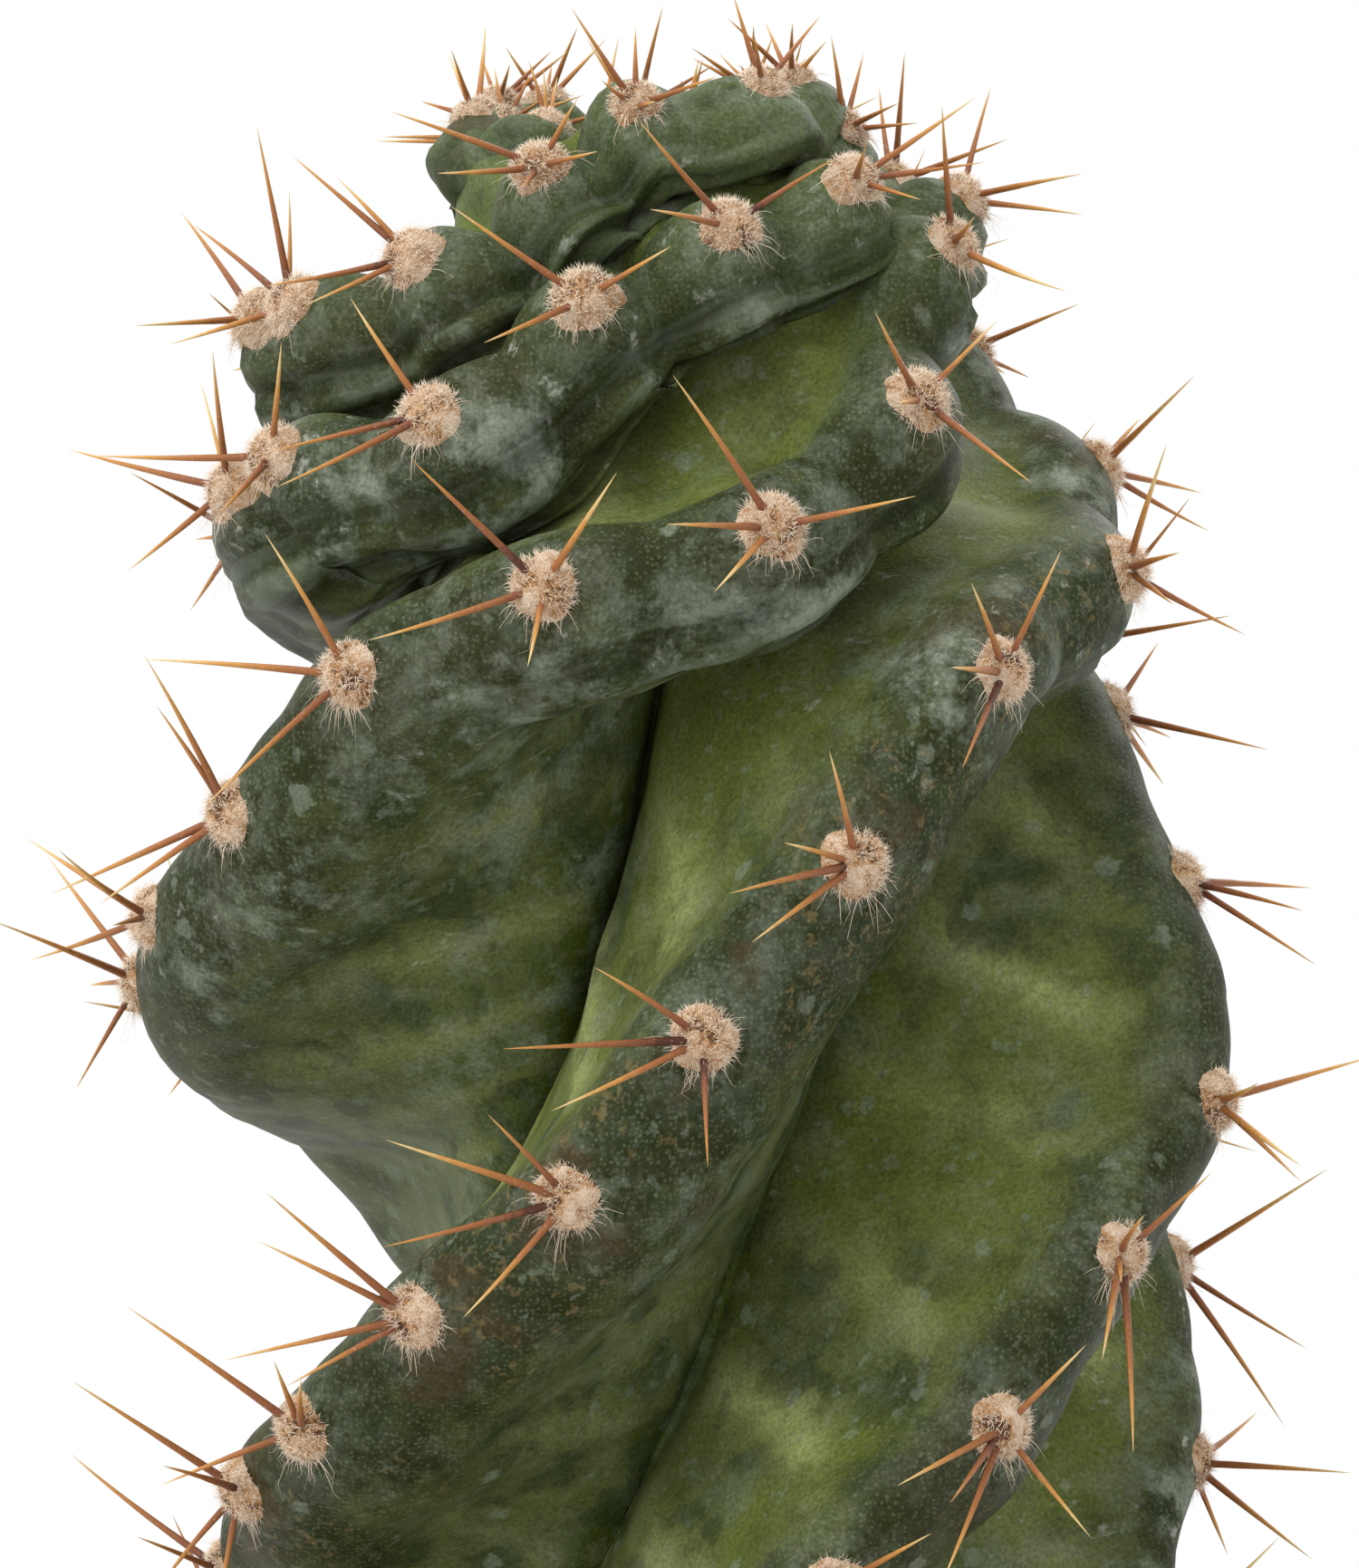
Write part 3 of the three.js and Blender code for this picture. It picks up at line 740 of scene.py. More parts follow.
@dataclass(frozen=True)
class SoilFinish:
    """Dark crumbly potting soil."""

    dark: Colour = (0.016, 0.010, 0.007)
    brown: Colour = (0.070, 0.042, 0.026)
    grit: Colour = (0.150, 0.100, 0.070)
    lumps: Clouds = Clouds(3.0, 6, 0.7)
    fine: Clouds = Clouds(0.7, 4, 0.7, 0.5)
    relief: float = 1.2

    def make(self) -> bpy.types.Material:
        """Build the material.

        Returns:
            The soil's material.
        """
        bench = Bench("potting_soil")
        lumps = bench.clouds(self.lumps)
        fine = bench.clouds(self.fine)
        colour = bench.blend(lumps.between(0.35, 0.7), self.dark, self.brown)
        return bench.surface({
            "Base Color": bench.blend(fine.between(0.6, 0.8) * 0.5, colour, self.grit),
            "Roughness": 0.95,
            "Specular IOR Level": 0.25,
            "Normal": bench.bump(lumps * 0.6 + fine * 0.4, self.relief, 0.9),
        })


@dataclass(frozen=True)
class CrumbFinish:
    """Loose bits on the soil: bark, brown crumbs and a few pale grains."""

    bark: Colour = (0.045, 0.022, 0.013)
    crumb: Colour = (0.120, 0.070, 0.042)
    grain: Colour = (0.580, 0.540, 0.480)
    fine: Clouds = Clouds(0.8, 4, 0.7)
    relief: float = 0.4

    def make(self) -> bpy.types.Material:
        """Build the material.

        Returns:
            The loose bits' material.
        """
        bench = Bench("soil_crumbs")
        fine = bench.clouds(self.fine)
        stops = (0.0, self.bark), (0.6, self.crumb), (0.9, self.crumb), (0.93, self.grain)
        colour = bench.ramp(bench.mark("tone"), *stops)
        return bench.surface({
            "Base Color": bench.blend(fine.between(0.45, 0.75) * 0.5, colour, self.bark),
            "Roughness": 0.9,
            "Specular IOR Level": 0.3,
            "Normal": bench.bump(fine, self.relief, 0.8),
        })


@dataclass(frozen=True)
class ClayFinish:
    """Unglazed terracotta with a mineral haze and worn, paler edges."""

    clay: Colour = (0.430, 0.160, 0.075)
    deep: Colour = (0.300, 0.100, 0.045)
    haze: Colour = (0.620, 0.460, 0.370)
    damp_start: Pair = (96, 118)
    damp_end: Pair = (120, 140)
    foot: Pair = (6, 26)
    damp_drift: float = 60.0
    broad: Clouds = Clouds(38.0, 4, 0.55)
    fine: Clouds = Clouds(1.4, 5, 0.65, 0.5)
    grit_spacing: float = 1.1
    relief: float = 0.25

    def make(self) -> bpy.types.Material:
        """Build the material.

        Returns:
            The clay's material.
        """
        bench = Bench("terracotta")
        broad = bench.clouds(self.broad)
        fine = bench.clouds(self.fine)
        grit, _ = bench.cells(self.grit_spacing)
        colour = bench.blend(broad.between(0.35, 0.7), self.clay, self.deep)
        colour = bench.blend(fine.between(0.3, 0.7) * 0.25, colour, self.haze)
        damp = bench.height() * (1 / MM) + (broad - 0.5) * self.damp_drift
        upper_band = damp.between(*self.damp_start) * (1 - damp.between(*self.damp_end))
        band = upper_band + (1 - damp.between(*self.foot))
        return bench.surface({
            "Base Color": bench.blend(band * fine.between(0.3, 0.65) * 0.55, colour, self.haze),
            "Roughness": fine * 0.15 + 0.75,
            "Specular IOR Level": 0.3,
            "Normal": bench.bump(fine * 0.7 + grit * 0.3, self.relief, 0.7),
        })


@dataclass(frozen=True)
class FloorFinish:
    """Plain pale studio floor that runs out into the white behind it."""

    tint: Colour = (0.86, 0.86, 0.86)
    speck: Colour = (0.78, 0.78, 0.77)
    white: Colour = (1.0, 1.0, 1.0)
    fade: Pair = (0.34, 0.62)
    grain: Clouds = Clouds(2.0, 3, 0.6)

    def make(self) -> bpy.types.Material:
        """Build the material.

        Returns:
            The floor's material.
        """
        bench = Bench("studio_floor")
        reach = bench.node("ShaderNodeVectorMath", {"operation": "LENGTH"}, {0: bench.place()}, "Value")
        colour = bench.blend(bench.clouds(self.grain) * 0.04, self.tint, self.speck)
        finish = {"Base Color": colour, "Roughness": 0.7, "Specular IOR Level": 0.2}
        floor = bench.node("ShaderNodeBsdfPrincipled", {}, finish)
        glow = bench.node("ShaderNodeEmission", {}, {"Color": (*self.white, 1.0), "Strength": 1.0})
        sockets = {0: reach.between(*self.fade), 1: floor, 2: glow}
        return bench.shown(bench.node("ShaderNodeMixShader", {}, sockets))


class Finish(Enum):
    """The finishes of the object and of the floor that it stands on."""

    SKIN = SkinFinish()
    FELT = FeltFinish()
    WOOL = WoolFinish()
    SPINE = SpineFinish()
    SOIL = SoilFinish()
    CRUMBS = CrumbFinish()
    CLAY = ClayFinish()
    FLOOR = FloorFinish()


class Slot(Enum):
    """Material slots of the record."""

    CLAY = "clay"
    SOIL = "soil"
    PLANT = "plant"


def dress(piece: bpy.types.Object, finish: Finish, slot: Slot, *nodes: str) -> None:
    """Give a piece its finish and tie it to the frame.

    Args:
        piece: The piece, in place.
        finish: Its finish.
        slot: The record's material slot; not used.
        nodes: Names of the solids that it stands for.
    """
    piece.data.materials.append(finish.value.make())
    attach(piece, BODY)
    if nodes:
        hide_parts(*nodes)


# Stem

@dataclass(frozen=True)
class Rib:
    """One rib: its crest passes through turn and height, and its valley lies at a share of the gap behind it.

    By height, swell widens its crest, lift raises it, crease sharpens the valley behind it and its wax curve
    is how much pale wax it carries, partly painted sheen. Where they are known, spines has the turns of an
    areole's spines round its pad, longest first.
    """

    index: int
    crest: Stations
    valley_share: Stations
    swell: Curve
    lift: Curve
    crease: Curve
    bloom_and_sheen: Curve
    spines: Mapping[float, tuple[float, ...]]

    def turn_at(self, height: Array | float) -> Array:
        """Turn of the crest at these heights."""
        return Curve(tuple((rise, turn) for turn, rise in self.crest))(height)

    def share_at(self, height: Array | float) -> Array:
        """Place of the valley behind the rib at these heights, as a share of the gap."""
        return Curve(self.valley_share)(height)

    def known_heights(self) -> list[float]:
        """Heights of the areoles whose places are known."""
        return [height for _, height in self.crest[1:-1]]


@dataclass(frozen=True)
class Crest:
    """Points on a crest with the directions along it, out of the stem and across to its lower side."""

    point: Array
    along: Array
    out: Array
    across: Array

    def level(self, turn: Array | float) -> Array:
        """Directions square to the way out, at these turns in radians from along to the upper side."""
        return np.cos(turn)[..., None] * self.along - np.sin(turn)[..., None] * self.across


# Each rib's wax curve gives pale wax that is partly painted sheen.
RIBS = (
    Rib(
        index=0,
        crest=(
            (-90, -90), (212, 86.5), (226, 94.5), (242, 106.5), (259, 118), (273, 132), (290, 146.5),
            (310, 162), (338, 169.5), (366, 176.8), (394, 186.5), (490, 206), (580, 220), (640, 226),
        ),
        valley_share=((60, 0.38), (90, 0.28), (113, 0.25), (136, 0.3), (157, 0.42), (180, 0.45), (221, 0.5)),
        swell=Curve(((170, 0), (181, -2.2), (190, -2), (204, -4), (211, -5), (216, -4), (226, 0))),
        lift=Curve(((165, 0), (174, -0.9), (190, -0.9), (200, 0), (206, -0.3), (213, -4), (226, -3))),
        crease=Curve(((60, 0.3), (100, 1), (155, 1), (175, 0.3))),
        bloom_and_sheen=Curve((
            (60, 0.2), (105, 0.1), (125, 0.3), (150, 0.4), (165, 1.5), (190, 1.4), (205, 0.5), (226, 0.2),
        )),
        spines={
            86.5: (-25, -85, 95, 140), 94.5: (0, -90, 75, -60), 106.5: (-5, 62, 14, 80),
            118: (20, 60, 100, -15), 132: (42, 65, 3, 130), 146.5: (47, 67, -20, 26), 162: (54, 88, 13, -46),
            169.5: (69, 27, 92, -168), 176.8: (-153, 36, 172, -103), 186.5: (-118, -163, 56, 173),
            206: (165, 70, -160, 23),
        },
    ),
    Rib(
        index=1,
        crest=(
            (-360, -88), (-57, 96), (-42, 110), (-24, 121.4), (-8, 139.2), (12, 152.4), (184, 190.5),
            (204, 192.5), (230, 197.5), (250, 205.5), (271, 211), (310, 213.5), (400, 221), (450, 226),
        ),
        valley_share=((0, 0.42), (221, 0.45)),
        swell=Curve(((98, 0), (110, 1.3), (121, 2.2), (130, 2.2), (139, -1.5), (152, -5), (172, 0))),
        lift=Curve(((210, 0), (226, -3))),
        crease=Curve(((60, -0.4), (150, -0.4), (180, 0.2))),
        bloom_and_sheen=Curve(((60, 0.15), (95, 0.25), (125, 0.4), (150, 0.3), (190, 0.25), (226, 0.2))),
        spines={
            96: (48, 89, 62, 165, -70), 110: (108, 69, 13, -69, 42), 121.4: (58, -126, 32, 171),
            139.2: (-162, 59, 87), 152.4: (68, -161, -143, -87), 190.5: (52, -133), 192.5: (-11, 58, 142),
            197.5: (31, 113, 133, 19), 205.5: (45, 100, -161, 147, -94), 211: (40, -139, 170, -15, 91),
            213.5: (14, -81, 100),
        },
    ),
    Rib(
        index=2,
        crest=(
            (-270, -85), (6, 82), (23, 98), (60, 125), (110, 150), (165, 169), (208, 176.5), (217, 180),
            (241, 184.5), (261, 194.5), (285, 200.5), (315, 204), (345, 212), (380, 217), (450, 222),
            (500, 226),
        ),
        valley_share=((0, 0.42), (221, 0.45)),
        swell=Curve(((75, 0), (98, 0), (140, -3.5), (168, -6), (176.5, -0.8), (181, 0))),
        lift=Curve(((204, 0), (212, -4), (226, -3))),
        crease=Curve(((60, 0.3), (226, 0.5))),
        bloom_and_sheen=Curve(((60, 1), (120, 1), (150, 0.9), (180, 1), (195, 0.8), (210, 0.3), (226, 0.2))),
        spines={
            82: (23, 61, -115, 154), 98: (6, 110, 75), 176.5: (74, -60, 150), 180: (95, -153, -61),
            184.5: (127, 104, 16), 194.5: (108, 30, -114), 200.5: (41, 88, -89), 204: (-99, 90, -138, 143),
        },
    ),
    Rib(
        index=3,
        crest=(
            (-180, -88), (0, 20), (90, 78), (123, 101), (142, 115), (182, 129), (197, 137), (217, 148.5),
            (235, 162), (258, 170.5), (284, 175.5), (308, 185.5), (330, 198), (358, 202), (449, 212),
            (530, 220), (580, 226),
        ),
        valley_share=((0, 0.4), (110, 0.35), (160, 0.42), (221, 0.5)),
        swell=Curve(((60, 0), (100, -5), (119, -5), (129, -0.8), (134, 0), (195, 0), (202, 0.5), (208, 0))),
        lift=Curve(((201, 0), (207, -4), (214, -4), (226, -3))),
        crease=Curve(((120, 0.2), (160, 0.8), (200, 0.8), (226, 0.3))),
        bloom_and_sheen=Curve((
            (60, 0.5), (110, 0.5), (130, 0.5), (142, 0.7), (160, 0.4), (186, 0.4), (200, 0.4), (215, 0.2),
        )),
        spines={
            129: (-90, 20, 75, 168), 137: (-101, 40, 88, -120), 148.5: (84, -44, 100, -28),
            162: (52, 111, -25), 170.5: (99, 28, -61, 168), 175.5: (17, 79, -111, 114),
            185.5: (136, 25, 70, -97), 198: (129, -2, 67), 202: (103, -57, 166),
        },
    ),
)


@dataclass
class Stem:
    """Column of four thick ribs that wind round it, from the root end in the soil to the sunken tip."""

    root_depth: float = 46.0
    root_radius: float = 29.0
    root_tip_radius: float = 20.0
    ribs_full: float = 36.0
    end: float = 226.0
    crest_radius: Curve = Curve((
        (-60, 40), (0, 40), (30, 44), (70, 44.3), (94, 49.9), (118, 50.9), (143, 48.8), (167, 46.3),
        (179, 42.5), (188, 37.5), (200, 30.5), (206, 25.5), (211, 21), (214, 18.5), (217, 14.5), (220, 10),
        (223, 5.5), (226, 0.5),
    ))
    crest_rise: Curve = Curve((
        (-60, -60), (206, 206), (211, 211), (214, 213), (217, 213.4), (220, 211.6), (223, 209), (226, 208),
    ))
    valley_radius: Curve = Curve((
        (-60, 22), (0, 22), (30, 20), (80, 19), (150, 18), (170, 17), (190, 16), (206, 15), (211, 13),
        (217, 8.5), (220, 6), (223, 3), (226, 0.3),
    ))
    valley_lift: Curve = Curve((
        (-60, 0), (100, 0), (150, 2), (175, 5), (190, 5), (200, 2), (206, -1), (211, -4), (217, -5),
        (220, -3.2), (226, 0),
    ))
    upper_half_width: Curve = Curve((
        (-60, 4.5), (110, 4.5), (140, 5.5), (180, 5.5), (200, 5), (211, 4.6), (217, 3.4), (220, 2.4),
        (223, 1.3), (226, 0.1),
    ))
    lower_half_width: Curve = Curve((
        (-60, 12), (60, 12), (110, 10.3), (150, 10), (180, 9), (200, 8), (211, 7), (217, 4.4), (220, 3),
        (223, 1.6), (226, 0.1),
    ))
    fold_depth: Curve = Curve((
        (-60, 0.7), (150, 0.7), (165, 1.6), (180, 3), (200, 4.2), (211, 3.8), (217, 2), (226, 0),
    ))
    areole_step: Curve = Curve(((-60, 21), (60, 20), (150, 20), (180, 18.5), (200, 15), (212, 11), (226, 8)))
    axis_offset: Curve = Curve(((-60, 3), (0, 3), (70, 2), (120, 0), (170, -2.3), (206, -3.6), (226, -7)))
    tangent_reach: float = 0.8
    slope_reach: float = 2.3
    crest_steps: int = 9
    flank_steps: int = 20
    flank_crowding: float = 1.35
    crest_shoulder: float = 0.55
    crest_shoulder_depth: float = 0.45
    crest_depth_share: float = 0.4
    flank_start_pull: float = 0.35
    flank_end_pull: float = 0.3
    lower_flank_turn: float = 31.0
    upper_flank_turn: float = 12.0
    flank_end_slope: float = 0.15
    fold_variety: float = 0.4
    fold_narrowing: float = 0.06
    first_areole: float = 14.0
    search_step: float = 0.25
    single_step_limit: float = 1.75

    def neighbour(self, rib: Rib, step: int) -> Rib:
        """The rib that is this many places further round."""
        return RIBS[(rib.index + step) % len(RIBS)]

    def on_stem(self, radius: Array, turn: Array, rise: Array, height: Array) -> Array:
        """Points at a radius and turn about the leaning axis.

        Args:
            radius: Distances from the axis.
            turn: Turns about it.
            rise: Heights of the points above the soil.
            height: Heights that say where the axis is.

        Returns:
            The points.
        """
        axis = self.axis_offset(height)[..., None] * radial(0.0)
        level = np.asarray(SOIL_LEVEL + rise)[..., None] * UP
        return axis + level + np.asarray(radius)[..., None] * radial(turn)

    def foot(self) -> Array:
        """Point on the axis under the stem, at the level of the pot's underside."""
        return self.axis_offset(0.0) * radial(0.0)

    def ribbed(self, curve: Curve, height: Array) -> Array:
        """Radius from a curve, growing out of the round root end."""
        share = smooth_step(height / self.ribs_full)
        return self.root_radius + (curve(height) - self.root_radius) * share

    def crest_point(self, rib: Rib, height: Array) -> Array:
        """Points on a rib's crest at these heights."""
        radius = self.ribbed(self.crest_radius, height) + rib.swell(height)
        return self.on_stem(radius, rib.turn_at(height), self.crest_rise(height) + rib.lift(height), height)

    def crest_at(self, rib: Rib, height: Array) -> Crest:
        """Crest points with their directions.

        Args:
            rib: The rib.
            height: Heights above the soil.

        Returns:
            Points and directions.
        """
        ahead = self.crest_point(rib, np.minimum(height + self.tangent_reach, self.end))
        along = unit(ahead - self.crest_point(rib, height - self.tangent_reach))
        low, high = height - self.slope_reach, height + self.slope_reach
        out = radial(rib.turn_at(height)) * (self.crest_rise(high) - self.crest_rise(low))[..., None]
        out[..., 2] = self.crest_radius(low) - self.crest_radius(high)
        out = unit(out - dot(out, along) * along)
        return Crest(self.crest_point(rib, height), along, out, np.cross(along, out))

    def valley_point(self, rib: Rib, height: Array) -> Array:
        """Points in the valley on the clockwise side of a rib.

        Args:
            rib: The rib.
            height: Heights above the soil.

        Returns:
            The points.
        """
        before = self.neighbour(rib, -1)
        turn = rib.turn_at(height)
        gap = (turn - before.turn_at(height) + 2 * FULL_TURN) % FULL_TURN
        lift = (rib.lift(height) + before.lift(height)) / 2
        rise = self.crest_rise(height) + self.valley_lift(height) + lift
        return self.on_stem(
            self.ribbed(self.valley_radius, height), turn - rib.share_at(height) * gap, rise, height
        )

    def areoles(self, rib: Rib) -> list[float]:
        """Heights of a rib's areoles from the soil up, even where none is known.

        Args:
            rib: The rib.

        Returns:
            The heights in rising order.
        """
        known = rib.known_heights()
        heights = [known[0]]
        for start, stop in zip(known, known[1:]):
            count = self._steps_between(rib, start, stop)
            heights += [start + (stop - start) * n / count for n in range(1, count + 1)]
        height = heights[0]
        while height > self.first_areole:
            height = self._areole_below(rib, height)
            if height > self.first_areole:
                heights.insert(0, height)
        return heights

    def _steps_between(self, rib: Rib, start: float, stop: float) -> int:
        """How many areole steps fit between two heights.

        Args:
            rib: The rib.
            start: Lower height.
            stop: Upper height.

        Returns:
            The number of steps.
        """
        low = np.arange(start, stop, self.search_step)
        high = np.minimum(low + self.search_step, stop)
        length = np.linalg.norm(self.crest_point(rib, high) - self.crest_point(rib, low), axis=-1).sum()
        steps = length / float(self.areole_step((start + stop) / 2))
        return 1 if steps < self.single_step_limit else math.floor(steps + 0.5)

    def _areole_below(self, rib: Rib, height: float) -> float:
        """Height of the next areole down the crest.

        Args:
            rib: The rib.
            height: Height of this areole.

        Returns:
            Height of the one below.
        """
        start = self.crest_point(rib, np.array(height))
        below = height
        while np.linalg.norm(start - self.crest_point(rib, np.array(below))) < self.areole_step(below):
            below -= self.search_step
        return below

    def phase(self, rib: Rib, height: Array) -> Array:
        """Count of areoles up a rib.

        Args:
            rib: The rib.
            height: Heights above the soil.

        Returns:
            The counts, whole at each areole.
        """
        heights = np.array(self.areoles(rib))
        i = np.clip(np.searchsorted(heights, height) - 1, 0, len(heights) - 2)
        return i + (height - heights[i]) / (heights[i + 1] - heights[i])

    def fold(self, rib: Rib, height: Array) -> Array:
        """Depth of the sharp folds between the round lobes that carry the areoles.

        Args:
            rib: The rib.
            height: Heights above the soil.

        Returns:
            How deep the crest lies there.
        """
        phase = self.phase(rib, height)
        wave = 1 - np.abs(np.cos(phase * math.pi))
        variety = np.array([spread(number + rib.index) for number in np.floor(phase)])
        depth = self.fold_depth(height) * (1 + self.fold_variety * variety)
        return depth * smooth_step(height / self.ribs_full) * wave

    def half_section(self, rib: Rib, height: Array, side: int) -> Array:
        """Half a section of a rib from its crest to its valley, square to the crest.

        Args:
            rib: The rib.
            height: Heights above the soil, one a section.
            side: 1 below the crest and -1 above it.

        Returns:
            Points by section and place.
        """
        crest = self.crest_at(rib, height)
        fold = self.fold(rib, height)
        top = crest.point - fold[:, None] * crest.out
        valley = self.valley_point(self.neighbour(rib, 1) if side > 0 else rib, height)
        full = self.lower_half_width(height) if side > 0 else self.upper_half_width(height)
        width = (full * (1 - self.fold_narrowing * fold))[:, None]
        relief = self.ribbed(self.crest_radius, height) - self.ribbed(self.valley_radius, height)
        depth = np.minimum(width, self.crest_depth_share * relief[:, None])
        shoulder = top - depth * crest.out + side * width * crest.across
        cap = (
            top,
            top + side * self.crest_shoulder * width * crest.across,
            top + side * width * crest.across - self.crest_shoulder_depth * depth * crest.out,
            shoulder,
        )
        reach = np.linalg.norm(shoulder - valley, axis=-1, keepdims=True)
        turn = rib.turn_at(height) + (self.lower_flank_turn if side > 0 else -self.upper_flank_turn)
        rising = radial(turn) - side * self.flank_end_slope * UP
        flank = (
            shoulder,
            shoulder - self.flank_start_pull * reach * crest.out,
            valley + self.flank_end_pull * reach * rising,
            valley,
        )
        on_cap = bezier(cap, np.arange(self.crest_steps) / self.crest_steps)
        steps = 1 - (1 - np.arange(self.flank_steps + 1) / self.flank_steps) ** self.flank_crowding
        on_flank = bezier(flank, steps)
        return np.concatenate([on_cap, on_flank], axis=1)

    def travelled(self, rib: Rib, heights: Array) -> Array:
        """Length of a rib's crest from the first of these heights to each of them."""
        runs = np.linalg.norm(np.diff(self.crest_point(rib, heights), axis=0), axis=-1)
        return np.append(0, np.cumsum(runs))


@dataclass
class StemSkin:
    """Skin of the stem: rows of points from the soil to the tip, their relief and the marks that colour them.

    Places on the skin go from 0 on a crest to 1 in a valley. The marks are depth, the place; side, -1 above
    the crest and 1 below it; rib, its number; phase, the count of areoles up the rib; along, the length of
    crest; and crease and the wax mark, how strong the crease and the pale wax, partly painted sheen, are. The
    relief adds vein, wrinkled, wrinkle, halo and upper.
    """

    stem: Stem
    row_step: float = 1.25
    fine_step: float = 0.1
    tip_gap: float = 0.4
    even_rows: int = 5
    evened_places: Rise = (0.35, 0.6, 1.5, 2.0)
    phase_stride: int = 7
    vein_places: Rise = (0.30, 0.48, 0.75, 0.95)
    vein_lean: Pair = (-2.0, 0.45)
    vein_strength: Pair = (1.0, 0.4)
    vein_drift: float = 0.22
    vein_drift_size: float = 16.0
    vein_patch_size: float = 30.0
    vein_width: float = 0.17
    vein_height: float = 0.5
    wrinkle_places: Rise = (0.06, 0.18, 0.8, 0.97)
    wrinkle_heights: Rise = (150, 176, 206, 218)
    wrinkle_count: float = 6.0
    wrinkle_size: float = 26.0
    wrinkle_drift: float = 0.5
    wrinkle_sharpness: float = 1.5
    wrinkle_depth: float = 1.2
    wrinkle_sheen: float = 0.8
    swell_height: float = 0.55
    swell_size: float = 17.0
    ripple_height: float = 0.22
    ripple_size: float = 5.0
    tip_smooth: float = 4.0
    tip_fade: float = 12.0
    foot_fade: float = 30.0
    crease_start: float = 0.9
    crease_depth: float = 3.5
    round_end: float = 12.0
    halo_reach: float = 5.0
    # Where light is painted on the upper flanks, from crest to valley.
    painted_light_places: Rise = (0.2, 0.5, 0.8, 1.0)
    heights: Array = field(init=False)
    points: Array = field(init=False)
    marks: dict[str, Array] = field(init=False)

    def __post_init__(self) -> None:
        """Take the sections of all the ribs, by row and by place round the stem."""
        self.heights = self._row_heights()
        parts = [self._rib_skin(rib) for rib in RIBS]
        self.points = np.concatenate([rows for rows, _ in parts], axis=1)
        self.marks = {key: np.concatenate([made[key] for _, made in parts], axis=1) for key in parts[0][1]}

    def _row_heights(self) -> Array:
        """Heights of the rows, a set length of crest apart.

        Returns:
            The heights in rising order.
        """
        fine = np.arange(0, self.stem.end - self.tip_gap, self.fine_step)
        length = sum(self.stem.travelled(rib, fine) for rib in RIBS) / len(RIBS)
        return np.interp(np.arange(0, length[-1], self.row_step), length, fine)

    def _rib_skin(self, rib: Rib) -> tuple[Array, dict[str, Array]]:
        """Sections of one rib from the valley behind it to the valley ahead of it.

        Args:
            rib: The rib.

        Returns:
            Points by row and place, and each mark by row and place.
        """
        stem, heights = self.stem, self.heights
        steps = stem.crest_steps + stem.flank_steps
        share = np.arange(steps + 1) / steps
        depth = np.concatenate([share[:0:-1], share[:-1]])
        upper = stem.half_section(rib, heights, -1)[:, :0:-1]
        lower = stem.half_section(rib, heights, 1)[:, :-1]
        behind, ahead = stem.neighbour(rib, -1), stem.neighbour(rib, 1)
        # Pale wax, partly painted sheen, eased towards the neighbouring ribs' in the valleys.
        bloom_and_sheen = rib.bloom_and_sheen(heights)
        beside = np.stack([behind.bloom_and_sheen(heights) - bloom_and_sheen, ahead.bloom_and_sheen(heights) - bloom_and_sheen], axis=1) / 2
        creases = np.stack([rib.crease(heights), ahead.crease(heights)], axis=1)
        marks = {
            "depth": depth,
            "side": np.repeat([-1.0, 1.0], steps),
            "rib": float(rib.index),
            "phase": (stem.phase(rib, heights) + self.phase_stride * rib.index)[:, None],
            "along": stem.travelled(rib, heights)[:, None],
            "crease": np.repeat(creases, steps, axis=1),
            "bloom_and_sheen": bloom_and_sheen[:, None] + np.repeat(beside, steps, axis=1) * depth ** 2,
        }
        shape = (len(heights), 2 * steps)
        full = {key: np.broadcast_to(values, shape) for key, values in marks.items()}
        return np.concatenate([upper, lower], axis=1), full

    def _even(self) -> None:
        """Even out the flanks along the ribs, where sections that turn quickly would cross."""
        reach, points = self.even_rows, self.points
        weights = np.hanning(2 * reach + 3)[1:-1]
        padded = np.pad(points, ((reach, reach), (0, 0), (0, 0)), mode="edge")
        evened = sum(weight * padded[i:i + len(points)] for i, weight in enumerate(weights)) / weights.sum()
        self.points = points + (evened - points) * window(self.marks["depth"], *self.evened_places)[..., None]

    def _mark_veins(self) -> None:
        """Mark soft ridges that run from the valleys up towards the areoles, from 0 to 1."""
        depth, above = self.marks["depth"], self.marks["side"] < 0
        drift = self.vein_drift * rough_field(self.points, self.vein_drift_size, 5.0)
        off = (self.marks["phase"] + np.where(above, *self.vein_lean) * depth + drift) % 1 - 0.5
        strength = smooth_step(0.6 + 1.2 * rough_field(self.points, self.vein_patch_size, 9.0))
        ridge = np.exp(-((off / self.vein_width) ** 2)) * np.where(above, *self.vein_strength)
        self.marks["vein"] = ridge * window(depth, *self.vein_places) * strength

    def _mark_wrinkles(self) -> None:
        """Mark where the skin wrinkles, below the upper crests, and the creases along the rib there, for
        painted shade, and add painted sheen to the wax there.
        """
        depth = self.marks["depth"]
        below = window(depth, *self.wrinkle_places) * (self.marks["side"] > 0)
        wrinkled = below * window(self.heights, *self.wrinkle_heights)[:, None]
        drift = self.wrinkle_drift * rough_field(self.points, self.wrinkle_size, 13.0)
        place = depth * self.wrinkle_count + drift
        creases = (0.5 + 0.5 * np.cos(place * 2 * math.pi)) ** self.wrinkle_sharpness
        self.marks["wrinkled"], self.marks["wrinkle"] = wrinkled, wrinkled * creases
        # Painted sheen: more pale wax on the wrinkled undersides.
        self.marks["bloom_and_sheen"] = self.marks["bloom_and_sheen"] + self.wrinkle_sheen * wrinkled

